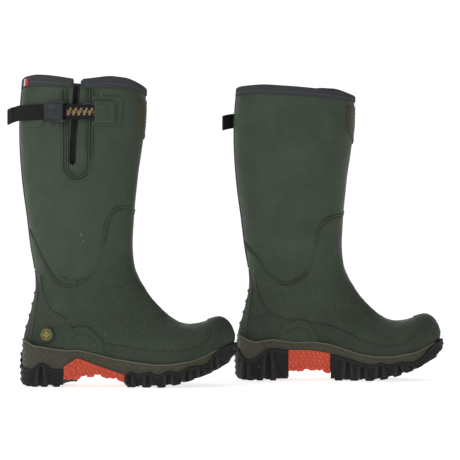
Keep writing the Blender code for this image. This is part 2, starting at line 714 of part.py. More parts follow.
def footbed():
    """The loose cushioned sole inside the bootie."""
    inside = -(RUBBER + GAP + STIFFENER_ROOM + NEOPRENE + GAP)
    return thick_skin("footbed", [11, 12.5, 14, 16, 18, 19.5], [140, 160, 180, 200, 220], inside, inside - 4.5)


BADGE_AT = (9.35, 123.0)  # row and angle of the ankle badge's centre
BADGE_RADIUS = 11.4


def ankle_badge():
    """The round badge on the outer side of the heel, its back shaped to the foot."""
    centre = skin(*BADGE_AT)
    out = (skin(*BADGE_AT, 1.0) - centre).normalized()
    level_way = Vector((0, 0, 1)).cross(out).normalized()
    up = out.cross(level_way)
    rings = []
    for depth, radius in ((-1.0, BADGE_RADIUS), (4.0, BADGE_RADIUS), (5.0, BADGE_RADIUS - 1.2)):
        turns = [2 * math.pi * k / 20 for k in range(20)]
        rings.append([centre + out * depth + radius * (level_way * math.cos(t) + up * math.sin(t)) for t in turns])
    return on_foot(sweep("ankle_badge", rings), FOXING + GAP + 0.8)


# ---------------------------------------------------------------- materials and the pair
def material(name, colour, roughness):
    made = bpy.data.materials.new(name)
    made.use_nodes = True
    principled = made.node_tree.nodes["Principled BSDF"]
    principled.inputs["Base Color"].default_value = (*colour, 1.0)
    principled.inputs["Roughness"].default_value = roughness
    principled.inputs["Metallic"].default_value = 1.0 if name == "steel" else 0.0
    made.diffuse_color = (*colour, 1.0)
    return made


MATERIALS = {
    "green_rubber": ((0.058, 0.075, 0.054), 0.62),
    "black_rubber": ((0.030, 0.032, 0.032), 0.7),
    "olive_rubber": ((0.098, 0.098, 0.065), 0.65),
    "red_rubber": ((0.78, 0.10, 0.05), 0.55),
    "neoprene": ((0.020, 0.021, 0.022), 0.9),
    "binding_tape": ((0.042, 0.045, 0.051), 0.85),
    "webbing": ((0.019, 0.019, 0.019), 0.85),
    "grey_plastic": ((0.054, 0.061, 0.069), 0.5),
    "steel": ((0.50, 0.50, 0.50), 0.35),
    "badge_rubber": ((0.23, 0.20, 0.045), 0.55),
    "label_cloth": ((0.55, 0.05, 0.05), 0.85),
    "foam": ((0.55, 0.52, 0.42), 0.9),
    "board": ((0.35, 0.25, 0.14), 0.85),
}

PIECES = [
    (leg_shell, "green_rubber"),
    (foot_shell, "green_rubber"),
    (foxing, "green_rubber"),
    (heel_spur, "green_rubber"),
    (back_stay, "green_rubber"),
    (slit_band, "green_rubber"),
    (strap_front_patch, "green_rubber"),
    (strap_rear_patch, "green_rubber"),
    (front_badge, "badge_rubber"),
    (ankle_badge, "badge_rubber"),
    (lining_bootie, "neoprene"),
    (gusset, "neoprene"),
    (rim_binding, "binding_tape"),
    (side_label, "label_cloth"),
    (strap, "webbing"),
    (buckle_frame, "grey_plastic"),
    (buckle_lever, "grey_plastic"),
    (buckle_pin, "steel"),
    (midsole, "olive_rubber"),
    (heel_outsole, "black_rubber"),
    (arch_insert, "red_rubber"),
    (forefoot_outsole, "black_rubber"),
    (foam_core, "foam"),
    (shank, "steel"),
    (insole_board, "board"),
    (heel_stiffener, "board"),
    (toe_puff, "board"),
    (footbed, "foam"),
]

# Moving pieces keep their origin on their joint's axis.
ORIGINS = {"strap": Vector((*STRAP_AXIS, PIN.z)), "buckle_lever": PIN}


def main():
    for thing in list(bpy.data.objects):
        bpy.data.objects.remove(thing)
    made = {name: material(name, *look) for name, look in MATERIALS.items()}
    tail = STRAP_AXIS[0] + (STRAP_TAIL_X - STRAP_AXIS[0]) * (STRAP_RADIUS + STRAP_THICK) / STRAP_RADIUS
    middle = 0.5 * (STAGGER + OUTLINE[-1][0] + tail)
    boots = {}
    for side, x, y, mirror in (("right", 0.0, -SPACING / 2, 1), ("left", STAGGER, SPACING / 2, -1)):
        boots[side] = bpy.data.objects.new(side + "_boot", None)
        boots[side].location = Vector((x - middle, y, 0)) * MM
        boots[side].scale = (1, mirror, 1)
        bpy.context.scene.collection.objects.link(boots[side])
    for make, look in PIECES:
        mesh = make()
        mesh.materials.append(made[look])
        origin = ORIGINS.get(make.__name__, Vector()) * MM
        mesh.transform(Matrix.Translation(-origin))
        mesh.shade_smooth()
        for side, boot in boots.items():
            piece = bpy.data.objects.new(f"{side}_{make.__name__}", mesh)
            piece.parent = boot
            piece.location = origin
            bpy.context.scene.collection.objects.link(piece)


main()
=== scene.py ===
"""The looks of a pair of insulated rubber hunting boots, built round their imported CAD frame.

Every piece is shaped once, as the right boot's, in that boot's own frame: millimetres, +X to the toe, -Y to
the outer (lateral) side, +Z up. add() then makes it for both boots, mirrored for the left one, in the frame
that the CAD is in.
"""

import math

import bmesh
import bpy
import numpy as np
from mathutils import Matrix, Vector


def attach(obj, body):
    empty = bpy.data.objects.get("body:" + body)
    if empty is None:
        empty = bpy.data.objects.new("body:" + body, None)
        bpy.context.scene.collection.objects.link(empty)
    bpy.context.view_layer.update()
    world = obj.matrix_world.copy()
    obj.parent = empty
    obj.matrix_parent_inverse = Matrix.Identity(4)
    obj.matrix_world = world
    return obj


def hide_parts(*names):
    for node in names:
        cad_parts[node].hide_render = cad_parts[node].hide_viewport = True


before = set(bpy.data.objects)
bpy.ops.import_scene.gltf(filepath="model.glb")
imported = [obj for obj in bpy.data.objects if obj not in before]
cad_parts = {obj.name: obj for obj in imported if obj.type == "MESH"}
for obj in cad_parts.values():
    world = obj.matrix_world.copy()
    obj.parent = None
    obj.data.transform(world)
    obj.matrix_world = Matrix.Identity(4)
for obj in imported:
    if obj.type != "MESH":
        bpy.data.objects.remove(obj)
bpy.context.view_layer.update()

# ---------------------------------------------------------------- driving dimensions, in millimetres
MM = 0.001
STAGGER = 306.0  # how far the left boot stands ahead of the right one
SPACING = 150.0  # between the two boots' middle planes

RUBBER = 2.5  # wall of the rubber shell
LINING_OUT = 2.85  # from the skin in to the bootie
LINING_IN = 6.85
STIFFENER_ROOM = 1.9

STRAP_AXIS = (88.0, 63.5)  # centre of the strap's arc, in plan
STRAP_RADIUS = 124.0
STRAP_THICK = 1.4
STRAP_LOW, STRAP_HIGH = 376.0, 398.0
STRAP_FRONT_X, STRAP_TAIL_X = 127.0, -17.0
PIN_X = 62.0
PIN_LIFT = 2.9

# The skin's sections: front x, z; back x, z; middle y; lateral and medial half width; where the section is
# widest, as a share of the way from front to back; and how square its front and back halves are.
STATIONS = np.array([
    (178.0, 427.0, 2.5, 435.0, 0.0, 55.5, 55.5, 0.50, 2.00, 2.0),  # rim
    (177.0, 380.0, -1.2, 384.0, 0.0, 56.0, 56.0, 0.50, 2.00, 2.0),
    (172.5, 335.0, -0.8, 337.0, 0.0, 55.5, 55.5, 0.50, 2.00, 2.0),
    (166.0, 288.0, 3.0, 289.0, 0.0, 54.0, 54.0, 0.50, 2.00, 2.0),
    (161.0, 240.0, 9.5, 240.0, 0.0, 50.5, 50.5, 0.50, 2.00, 2.0),
    (160.0, 200.0, 14.5, 199.0, 0.0, 47.0, 47.0, 0.50, 2.00, 2.0),
    (163.0, 170.0, 20.0, 166.0, 0.0, 44.0, 44.0, 0.52, 2.00, 2.0),  # ankle
    (169.0, 152.5, 22.0, 138.0, 0.0, 42.0, 41.5, 0.54, 1.95, 2.1),
    (177.0, 139.0, 17.5, 108.0, 0.0, 39.5, 39.0, 0.56, 1.90, 2.2),
    (184.0, 128.0, 12.5, 74.0, 0.0, 37.0, 36.0, 0.60, 1.90, 2.4),
    (190.0, 120.5, 12.5, 47.0, 0.0, 36.0, 34.5, 0.64, 1.85, 2.8),
    (195.0, 115.0, 23.0, 35.0, 0.0, 36.0, 34.0, 0.66, 1.85, 3.4),  # corner of the heel seat
    (202.0, 108.0, 62.0, 33.0, 0.0, 36.0, 33.0, 0.68, 1.85, 4.2),
    (210.5, 100.5, 108.0, 34.0, 0.5, 38.0, 32.0, 0.70, 1.85, 4.4),
    (220.0, 94.0, 152.0, 28.0, 1.0, 47.0, 39.0, 0.72, 1.90, 4.4),
    (230.0, 89.5, 190.0, 21.5, 2.0, 53.0, 45.5, 0.72, 2.00, 4.2),
    (242.0, 88.0, 220.0, 20.5, 3.0, 54.5, 49.0, 0.70, 2.05, 4.0),  # ball of the foot
    (256.0, 90.0, 246.0, 23.5, 4.5, 51.0, 47.0, 0.68, 2.10, 3.6),
    (270.0, 94.0, 267.0, 29.0, 6.5, 43.0, 40.0, 0.66, 2.15, 3.3),
    (283.0, 96.5, 283.0, 36.5, 8.5, 33.0, 30.5, 0.63, 2.20, 3.0),
    (293.0, 92.0, 294.5, 45.0, 10.0, 22.5, 20.5, 0.60, 2.20, 2.7),
    (300.0, 83.0, 301.5, 54.0, 11.0, 13.5, 12.0, 0.56, 2.20, 2.4),
    (304.0, 72.5, 304.8, 63.0, 11.5, 4.5, 4.0, 0.50, 2.10, 2.1),
])
TOE_TIP = np.array((305.5, 11.8, 67.5))
LAST = len(STATIONS) - 1
ANKLE = 6.0
# How far the rim stands above or below the plane of its section: (degrees, height).
RIM_LIFT = np.array([
    (0, -7.0), (22, -1.5), (44, 6.0), (64, 7.0), (79, 3.0), (91, 0.0), (97, 0.0), (110, 2.5), (125, 4.5),
    (140, 5.0), (160, 2.0), (180, -4.0), (200, -1.0), (236, 2.0), (278, 0.0), (318, -3.5), (339, -6.5),
    (360, -7.0),
])
RIM_FADE = 0.45
SLIT_FRONT, SLIT_REAR, SLIT_END = 91.0, 97.5, 2.5

# The sole's plan, in matched lateral and medial points from the heel's back to the toe: x, y, x, y.
OUTLINE = np.array([
    (0.5, -9.0, 0.5, 9.0),
    (5.0, -25.0, 5.0, 24.0),
    (17.0, -37.0, 17.0, 35.5),
    (36.0, -42.0, 36.0, 41.0),
    (60.0, -42.5, 62.0, 41.0),
    (86.0, -42.5, 84.0, 39.5),
    (112.0, -43.5, 112.0, 39.0),
    (138.0, -47.0, 138.0, 40.5),
    (160.0, -52.0, 162.0, 43.0),
    (184.0, -57.0, 186.0, 51.0),
    (208.0, -58.5, 210.0, 56.0),
    (232.0, -56.0, 234.0, 58.0),
    (254.0, -49.0, 256.0, 56.0),
    (273.0, -38.5, 275.0, 49.0),
    (289.0, -25.0, 291.0, 39.0),
    (301.0, -9.5, 302.5, 27.5),
    (308.5, 5.5, 308.5, 18.0),
])
HEEL_CUT = (4.10, 4.78)
FORE_CUT = (7.55, 7.15)
LUG_DEPTH = 5.0

# Heights along X: (x, z). Where there are two lists, they are the lateral and the medial side's.
LUG_FACE = [(0, 3.0), (12, 0), (205, 0), (219, 2.5), (235, 6), (252, 11.5), (268, 17), (284, 25), (300, 35),
            (309, 45)]
SLAB_TOP = [(0, 13), (55, 13), (80, 23), (110, 25), (135, 18), (155, 13), (205, 12), (235, 16), (268, 27),
            (290, 39), (309, 53)]
ARCH_FACE = [(60, 9), (75, 14), (95, 18.5), (115, 20), (135, 13.5), (150, 9.0)]
WRAP_TOP = (
    [(0, 67), (8, 65), (18, 59), (36, 56.5), (51, 54), (69, 52), (83, 52.5), (96, 50), (134, 40.5),
     (167, 35.5), (194, 32.5), (215, 33), (246, 37.5), (264, 44.5), (281, 52), (294, 57.5), (309, 62)],
    [(0, 67), (5, 67), (13, 62), (23, 58.5), (32, 57.5), (43, 60), (55, 61.5), (86, 57), (119, 57.5),
     (140, 54), (161, 47), (182, 40), (203, 36.5), (231, 36.5), (267, 43), (285, 51), (309, 62)],
)
HEEL_WAVE = (
    [(0, 28), (15, 24), (20, 27), (29, 34), (36, 34), (47, 25), (60, 25)],
    [(0, 50), (4, 48), (11, 32), (26, 31), (43, 45), (52, 48), (79, 45)],
)
ARCH_WAVE = ([(60, 26), (83, 41), (112, 30), (148, 18)], [(78, 45), (111, 45), (141, 40)])
FORE_WAVE = (
    [(149, 15), (157, 23.5), (168, 17.5), (183, 22.5), (197, 17), (212, 24.5), (226, 20), (240, 29),
     (267, 31.5), (277, 46), (281, 52), (294, 57.5), (309, 62)],
    [(141, 39.5), (161, 34), (182, 27.5), (200, 23), (214, 27.5), (227, 23.5), (244, 28.5), (260, 27),
     (271, 31), (279, 38), (285, 45), (295, 55), (309, 62)],
)


# ---------------------------------------------------------------- the skin
def curve(rows, i, t):
    """Places on the Catmull-Rom curve from row i + 1 (t = 0) to row i + 2 (t = 1)."""
    t = t[:, None]
    a, b, c, d = rows[i], rows[i + 1], rows[i + 2], rows[i + 3]
    return 0.5 * (2 * b + (c - a) * t + (2 * a - 5 * b + 4 * c - d) * t**2 + (3 * b - a - 3 * c + d) * t**3)


def run_length(points):
    """The length of the way through the points, up to each of them."""
    return np.concatenate([[0], np.cumsum(np.linalg.norm(np.diff(points, axis=0), axis=1))])


def at_lengths(points, length, where):
    """2-D places on the way through the points, at these lengths along it."""
    return np.stack([np.interp(where, length, points[:, k]) for k in (0, 1)], -1)


def woven_places(along, across):
    """UV places for a grid: its rows lie along the tape, and its columns across."""
    return np.stack(np.broadcast_arrays(along[:, None], across[None, :]), -1)


def circle(radius, count, tall=None):
    """A closed run of points round a circle, or round an ellipse if tall is given."""
    turns = np.linspace(0, 2 * math.pi, count, endpoint=False)
    return [(radius * math.cos(t), (tall or radius) * math.sin(t)) for t in turns]


def between(rows, s):
    """The table's row at each s, on a smooth curve through its rows."""
    ghost = np.vstack([2 * rows[0] - rows[1], rows, 2 * rows[-1] - rows[-2]])
    i = np.clip(np.floor(s).astype(int), 0, len(rows) - 2)
    return curve(ghost, i, s - i)


def soft_level(table, x, reach=3.0):
    """The height along a table of (x, z), with its corners rounded."""
    table = np.array(table, float)
    shifts = np.linspace(-reach, reach, 5)
    return sum(np.interp(x + d, table[:, 0], table[:, 1]) for d in shifts) / len(shifts)


def section(s, degrees):
    """Points on the skin. Degrees: 0 front, 90 lateral, 180 back, 270 medial."""
    s, degrees = (a.astype(float) for a in np.broadcast_arrays(s, degrees))
    flat, turn = s.ravel(), np.radians(degrees.ravel())
    fx, fz, bx, bz, middle, lateral, medial, widest, front_power, back_power = between(STATIONS, flat).T
    along, across = np.cos(turn), np.sin(turn)
    power = np.where(along >= 0, front_power, back_power)
    reach = (abs(along) ** power + abs(across) ** power) ** (-1 / power)
    along, across = along * reach, across * reach
    cx, cz = fx + widest * (bx - fx), fz + widest * (bz - fz)
    x = cx + abs(along) * (np.where(along >= 0, fx, bx) - cx)
    z = cz + abs(along) * (np.where(along >= 0, fz, bz) - cz)
    y = middle - across * np.where(across > 0, lateral, medial)
    lift = soft_level(RIM_LIFT, degrees.ravel() % 360, 4.0)
    z = z + lift * np.clip(1 - flat / RIM_FADE, 0, None)
    return np.stack([x, y, z], -1).reshape(*s.shape, 3)


def normal(s, degrees):
    """The skin's outward direction."""
    s, degrees = np.broadcast_arrays(np.asarray(s, float), np.asarray(degrees, float))
    top = np.minimum(s + 0.02, LAST)
    down = section(top, degrees) - section(top - 0.04, degrees)
    around = section(s, degrees + 0.5) - section(s, degrees - 0.5)
    out = np.cross(around, down)
    return out / np.linalg.norm(out, axis=-1, keepdims=True)


def skin(s, degrees, offset=0.0):
    """Points on the skin, or this far outside it."""
    return section(s, degrees) + np.asarray(offset)[..., None] * normal(s, degrees)


def on_side(points, side):
    """(row, degrees) of side-view places (x, z), on the lateral or the medial side."""

    def seen(row, turn):
        return section(row, turn)[..., [0, 2]]

    first = 0.5 if side == "lateral" else 180.5
    rows, turns = np.arange(0, LAST, 0.02), np.arange(first, first + 179, 0.5)
    table = np.stack(np.meshgrid(rows, turns, indexing="ij"), -1).reshape(-1, 2)
    places = seen(*table.T)
    found = table[[((places - np.array(point)) ** 2).sum(1).argmin() for point in points]]
    for _ in range(4):  # Newton's steps from the nearest place in the table
        row, turn = found.T
        here = seen(row, turn)
        by_row = (seen(row + 0.01, turn) - here) / 0.01
        by_turn = (seen(row, turn + 0.2) - here) / 0.2
        area = by_row[:, 0] * by_turn[:, 1] - by_row[:, 1] * by_turn[:, 0]
        area = np.where(np.abs(area) < 0.5, np.inf, area)
        left = np.array(points, float) - here
        step_row = (left[:, 0] * by_turn[:, 1] - left[:, 1] * by_turn[:, 0]) / area
        step_turn = (by_row[:, 0] * left[:, 1] - by_row[:, 1] * left[:, 0]) / area
        found = found + np.stack([np.clip(step_row, -0.02, 0.02), np.clip(step_turn, -0.6, 0.6)], 1)
    return [tuple(place) for place in found]


PATH_STEP = 1.5  # between the points of a ridge


def smooth_path(points, step=PATH_STEP, closed=False):
    """A smooth curve through (row, degrees) points, as evenly spaced (row, degrees) along the skin."""
    points = np.array(points, float)
    points[:, 1] = np.degrees(np.unwrap(np.radians(points[:, 1])))
    if closed:
        points = np.vstack([points, points[:1]])
    count = len(points) - 1
    t = np.linspace(0, count, count * 24 + 1)
    if closed:
        i = np.minimum(t.astype(int), count - 1)
        fine = curve(np.vstack([points[-2], points, points[1]]), i, t - i)
    else:
        fine = between(points, t)
    length = run_length(section(*fine.T))
    where = np.linspace(0, length[-1], max(4, int(length[-1] / step)) + 1)
    return at_lengths(fine, length, where[:-1] if closed else where)


# ---------------------------------------------------------------- meshes
class Shape:
    """Points in millimetres, faces, and for each point a UV place in millimetres and a tone.

    A tone runs from -1, dark, to 1, pale. On the rubber it is painted light: painted shade at -1 and a
    painted highlight at 1. On the webbing, 1 is where the print is.
    """

    def __init__(self):
        self.points, self.faces, self.uvs, self.tones = [], [], [], []
        self.count = 0

    def add(self, points, faces, uvs=None, tones=None):
        points = np.asarray(points, float).reshape(-1, 3)
        total = len(points)
        self.points.append(points)
        self.uvs.append(np.zeros((total, 2)) if uvs is None else np.asarray(uvs, float).reshape(-1, 2))
        self.tones.append(np.zeros(total) if tones is None else np.asarray(tones, float).ravel())
        self.faces += [tuple(int(v) + self.count for v in f) for f in faces]
        self.count += total

    def grid(self, points, round_rows=False, round_columns=False, caps=False, uvs=None, tones=None):
        """A sheet through rows and columns of points. Either may run round, and end rings may be capped."""
        rows, columns = points.shape[:2]
        faces = []
        for i in range(rows if round_rows else rows - 1):
            below = (i + 1) % rows * columns
            for j in range(columns if round_columns else columns - 1):
                k = (j + 1) % columns
                faces.append((i * columns + j, i * columns + k, below + k, below + j))
        if caps:
            faces += [tuple(reversed(range(columns))), tuple(range((rows - 1) * columns, rows * columns))]
        self.add(points, faces, uvs, tones)


def closed_sheet(shape, outer, inner, ring=False, keep=None, uvs=None, tones=None):
    """A wall between two sheets of the same rows and columns, closed round its free edges."""
    rows, columns = outer.shape[:2]
    cells = []
    for i in range(rows - 1):
        for j in range(columns if ring else columns - 1):
            if keep is None or keep(i, j):
                k = (j + 1) % columns
                cells.append((i * columns + j, i * columns + k, (i + 1) * columns + k, (i + 1) * columns + j))
    layer = rows * columns
    edges = [(f[k], f[(k + 1) % 4]) for f in cells for k in range(4)]
    both_ways = set(edges)
    faces = cells + [tuple(v + layer for v in reversed(f)) for f in cells]
    faces += [(b, a, a + layer, b + layer) for a, b in edges if (b, a) not in both_ways]
    doubled = [None if m is None else np.concatenate([m.reshape(layer, -1)] * 2) for m in (uvs, tones)]
    shape.add(np.concatenate([outer.reshape(-1, 3), inner.reshape(-1, 3)]), faces, *doubled)


def sweep(shape, path, normals, profile, scale=None, closed=False, tones=None):
    """A bar along a path: the profile's points are (across, out), from the path's side and its normal."""
    ahead = np.roll(path, -1, 0) - np.roll(path, 1, 0) if closed else np.gradient(path, axis=0)
    side = np.cross(ahead, normals)
    side /= np.linalg.norm(side, axis=1, keepdims=True)
    profile = np.array(profile, float)
    scale = np.ones(len(path)) if scale is None else scale
    across = profile[None, :, :1] * side[:, None, :]
    out = profile[None, :, 1:] * normals[:, None, :]
    points = path[:, None, :] + (across + out) * scale[:, None, None]
    if tones is not None:
        tones = np.broadcast_to(tones, points.shape[:2])
    shape.grid(points, round_rows=closed, round_columns=True, caps=not closed, tones=tones)


def bead(width, height, light):
    """A rounded ridge's profile between two narrow grooves, and its tones: a painted highlight on top and
    painted shade in the grooves.
    """
    flank, sink = 1.0, 0.4
    turns = np.linspace(0, math.pi, 7)
    top = [(-0.5 * width * math.cos(t), max(0.0, height * math.sin(t) ** 0.8)) for t in turns]
    half = 0.5 * width + flank
    inner = half - 0.2 * flank
    points = [(-half, 0.04), (-inner, 0.05), *top, (inner, 0.05), (half, 0.04), (half, -sink), (-half, -sink)]
    # Painted light: shade painted in the grooves beside the ridge, and a highlight painted on its top, as
    # strong as light asks.
    groove = -0.45
    pale = [light * math.sin(t) ** 2 - 0.5 * (1 - math.sin(t)) for t in turns]
    return points, [0.0, groove, *pale, groove, 0.0, 0.0, 0.0]


def ridge(shape, points, width, height, offset=0.0, light=0.3, closed=False):
    """A ridge along a smooth curve of the skin, fading out at its free ends."""
    taper = 6.0
    path = smooth_path(points, closed=closed)
    scale = None
    if not closed:
        reach = np.arange(len(path)) * PATH_STEP / taper
        scale = np.clip(np.minimum(reach, reach[::-1]), 0.12, 1.0) ** 0.6
    profile, tones = bead(width, height, light)
    sweep(shape, skin(*path.T, offset), normal(*path.T), profile, scale, closed, tones)


def pad(shape, outline, thick, offset=0.0, edge=0.9, sink=0.5, dome=0.0):
    """A raised pad with a rounded edge. The outline is a closed run of (row, degrees) points."""
    rim = smooth_path(outline, 1.2, closed=True)
    middle = rim.mean(0)
    bevel = edge / np.linalg.norm(section(*rim.T) - section(*middle), axis=-1).mean()
    profile = [(1.0, -sink), (1.0, 0.35 * thick), (1 - 0.25 * bevel, 0.72 * thick)]
    profile.append((1 - 0.6 * bevel, 0.93 * thick))
    profile += [(share, thick) for share in (1 - bevel, 0.8, 0.6, 0.4, 0.2, 0.02)]
    rings = []
    for share, height in profile:
        ring = middle + (rim - middle) * share
        rings.append(skin(*ring.T, offset + height + dome * (1 - share**2)))
    shape.grid(np.array(rings), round_columns=True, caps=True)


def block(shape, rim, direction, low, high, bevel=0.7, taper=0.0):
    """A rounded block: rim is a closed run of points, drawn out along a direction from low to high."""
    rim = np.asarray(rim, float)
    middle = rim.mean(0)
    soft = bevel / np.linalg.norm(rim - middle, axis=1).mean()
    step = np.sign(high - low) * bevel
    end = 1.0 - taper
    rings = [(1.0, low), (1.0 - taper * 0.8, high - (high - low) * 0.25), (end, high - step),
             (end - 0.35 * soft, high - step * 0.35), (end - soft, high), (0.5, high), (0.03, high)]
    rings = [middle + (rim - middle) * share + np.asarray(direction, float) * level for share, level in rings]
    shape.grid(np.array(rings), round_columns=True, caps=True)


def rounded(corners, radius, steps=4):
    """A closed run of 2-D points with its corners rounded."""
    corners = [np.array(c, float) for c in corners]
    made = []
    for k, here in enumerate(corners):
        before, after = corners[k - 1] - here, corners[(k + 1) % len(corners)] - here
        reach = min(radius, 0.45 * np.linalg.norm(before), 0.45 * np.linalg.norm(after))
        start = here + before / np.linalg.norm(before) * reach
        end = here + after / np.linalg.norm(after) * reach
        for t in np.linspace(0, 1, steps + 1):
            made.append((1 - t) ** 2 * start + 2 * t * (1 - t) * here + t**2 * end)
    return made


# ---------------------------------------------------------------- both boots
# The frame's origin is halfway from the right boot's strap tail to the left boot's toe.
TAIL = STRAP_AXIS[0] + (STRAP_TAIL_X - STRAP_AXIS[0]) * (STRAP_RADIUS + STRAP_THICK) / STRAP_RADIUS
MIDDLE = 0.5 * (STAGGER + OUTLINE[-1][0] + TAIL)
# Each boot's place in the frame, along X and Y, and 1 or -1 for mirrored.
SIDES = {"right": (0.0, -SPACING / 2, 1.0), "left": (STAGGER, SPACING / 2, -1.0)}
made_materials = {}


def add(name, shape, look, nodes, body="boot", slot=None, sharp=40.0, padded=None):
    """The shape as a piece of each boot, standing for these CAD nodes."""
    points = np.concatenate(shape.points)
    uvs, tones = np.concatenate(shape.uvs), np.concatenate(shape.tones)
    for side, (x, y, mirror) in SIDES.items():
        placed = points * np.array((1, mirror, 1)) + np.array((x - MIDDLE, y, 0))
        mesh = bpy.data.meshes.new(f"{side}_{name}")
        faces = shape.faces if mirror > 0 else [tuple(reversed(f)) for f in shape.faces]
        mesh.from_pydata((placed * MM).tolist(), [], faces)
        layer = mesh.uv_layers.new(name="Weave")
        corner = np.empty(len(mesh.loops), np.int32)
        mesh.loops.foreach_get("vertex_index", corner)
        layer.data.foreach_set("uv", (uvs[corner] * MM).ravel().astype(np.float32))
        tone = mesh.attributes.new("tone", "FLOAT", "POINT")
        tone.data.foreach_set("value", tones.astype(np.float32))
        shaped = bmesh.new()
        shaped.from_mesh(mesh)
        bmesh.ops.remove_doubles(shaped, verts=shaped.verts, dist=2e-6)
        bmesh.ops.dissolve_degenerate(shaped, edges=shaped.edges, dist=1e-6)
        bmesh.ops.recalc_face_normals(shaped, faces=shaped.faces)
        shaped.to_mesh(mesh)
        shaped.free()
        mesh.shade_smooth()
        if sharp:
            mesh.set_sharp_from_angle(angle=math.radians(sharp))
        mesh.materials.append(made_materials[look])
        piece = bpy.data.objects.new(f"{side}_{name}", mesh)
        bpy.context.scene.collection.objects.link(piece)
        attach(piece, f"{side}_{body}")
        if nodes:
            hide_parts(*(f"{side}_{node}" for node in nodes))


def cover(node, shape, look, slot=None, **options):
    """The shape as the piece that stands for one CAD node. Its slot is not used."""
    add(f"{node}_v", shape, look, [node], slot=slot or look, **options)


def close_toe(shape, rings, tip, outward):
    """A cap from a ring, through any further rings, to a tip."""
    count = len(rings[0])
    quads = [(k + j, k + (j + 1) % count, k + count + (j + 1) % count, k + count + j)
             for k in range(0, (len(rings) - 1) * count, count) for j in range(count)]
    last = (len(rings) - 1) * count
    faces = quads + [(last + j, last + (j + 1) % count, last + count) for j in range(count)]
    shape.add(np.vstack([*rings, tip]), faces if outward else [tuple(reversed(f)) for f in faces])


# ---------------------------------------------------------------- materials
class Nodes:
    """A short way to write a material's nodes."""

    def __init__(self, name, roughness=0.6, specular=0.5, metallic=0.0, **sockets):
        self.material = bpy.data.materials.new(name)
        self.material.use_nodes = True
        self.tree = self.material.node_tree
        self.shader = self.tree.nodes["Principled BSDF"]
        self.shader.inputs["Roughness"].default_value = roughness
        self.shader.inputs["Specular IOR Level"].default_value = specular
        self.shader.inputs["Metallic"].default_value = metallic
        for socket, value in sockets.items():
            self.shader.inputs[socket.replace("_", " ")].default_value = value
        made_materials[name] = self.material

    def node(self, kind, inputs=(), **settings):
        made = self.tree.nodes.new("ShaderNode" + kind)
        for key, value in settings.items():
            setattr(made, key, value)
        for key, value in dict(inputs).items():
            if isinstance(value, bpy.types.NodeSocket):
                self.tree.links.new(value, made.inputs[key])
            else:
                made.inputs[key].default_value = value
        return made

    def place(self):
        return self.node("TexCoord").outputs["Object"]

    def weave(self):
        return self.node("UVMap", uv_map="Weave").outputs["UV"]

    def noise(self, scale, detail=4.0, rough=0.55, stretch=None):
        at = self.place()
        if stretch:
            at = self.node("Mapping", {"Vector": at, "Scale": stretch}).outputs[0]
        inputs = {"Vector": at, "Scale": scale, "Detail": detail, "Roughness": rough}
        return self.node("TexNoise", inputs).outputs["Fac"]

    def cells(self, scale, feature="F1"):
        made = self.node("TexVoronoi", {"Vector": self.place(), "Scale": scale}, feature=feature)
        return made.outputs["Distance"]

    def band(self, value, low, high, start=0.0, end=1.0):
        """The value from low to high spread over start to end."""
        inputs = {"Value": value, "From Min": low, "From Max": high, "To Min": start, "To Max": end}
        return self.node("MapRange", inputs).outputs[0]

    def math(self, what, a, b=0.0):
        return self.node("Math", {0: a, 1: b}, operation=what).outputs[0]

    def mix(self, share, a, b):
        made = self.node("Mix", {"Factor": share}, data_type="RGBA")
        for socket, value in ((6, a), (7, b)):
            if isinstance(value, bpy.types.NodeSocket):
                self.tree.links.new(value, made.inputs[socket])
            else:
                made.inputs[socket].default_value = (*value, 1.0)
        return made.outputs[2]

    def tone(self):
        return self.node("Attribute", attribute_name="tone").outputs["Fac"]

    def split(self, vector):
        return self.node("SeparateXYZ", {0: vector}).outputs

    def bump(self, height, strength, depth, under=None):
        inputs = {"Height": height, "Strength": strength, "Distance": depth}
        if under:
            inputs["Normal"] = under
        return self.node("Bump", inputs).outputs[0]

    def finish(self, colour=None, rough=None, bump=None):
        for key, value in (("Base Color", colour), ("Roughness", rough), ("Normal", bump)):
            if value is not None:
                self.tree.links.new(value, self.shader.inputs[key])


def rubber(name, colour, light, roughness, scuffs, grain=900.0, depth=0.00025, pebble=0.0, pebble_top=9.0):
    """Moulded rubber: mottled, finely grained, dusty in patches, with a few pale scuffs, and with painted
    highlight and painted shade where the tone attribute says.

    Pebble is the density of a coarser grain, which ends at the height pebble_top, in metres.
    """
    n = Nodes(name, roughness=roughness, specular=0.22)
    dusty = n.band(n.noise(26.0, 6.0, 0.6), 0.35, 0.72)
    mottled = n.mix(dusty, tuple(c * 0.84 for c in colour), tuple(c * 1.14 for c in colour))
    fine = n.band(n.noise(420.0, 3.0), 0.3, 0.7)
    mottled = n.mix(n.math("MULTIPLY", fine, 0.25), mottled, light)
    tone = n.tone()
    # Painted light: a positive tone draws the colour to the pale shade, a painted highlight; a negative tone
    # darkens it, painted shade.
    painted_light_and_wear = n.mix(n.band(tone, 0.0, 1.0), mottled, light)
    painted_light_and_wear = n.mix(n.band(tone, 0.0, -1.0), painted_light_and_wear, tuple(c * 0.3 for c in colour))
    specks = n.band(n.noise(190.0, 2.0, 0.5, stretch=(1.0, 1.0, 0.45)), 0.735, 0.78, 0.0, scuffs)
    coloured = n.mix(specks, painted_light_and_wear, tuple(min(1.0, c * 3.4 + 0.06) for c in light))
    rough = n.band(n.noise(60.0, 5.0), 0.25, 0.75, roughness - 0.1, roughness + 0.12)
    bump = n.bump(n.noise(grain, 3.0, 0.6), 0.5, depth)
    if pebble:
        cells = n.cells(pebble, feature="SMOOTH_F1")
        height = n.split(n.place())[2]
        pits = n.math("MULTIPLY", n.band(cells, 0.0, 0.6), n.band(height, pebble_top, pebble_top - 0.05))
        bump = n.bump(pits, 0.8, 0.0011, bump)
        coloured = n.mix(n.math("MULTIPLY", pits, 0.35), coloured, tuple(c * 0.45 for c in colour))
    n.finish(coloured, rough, bump)


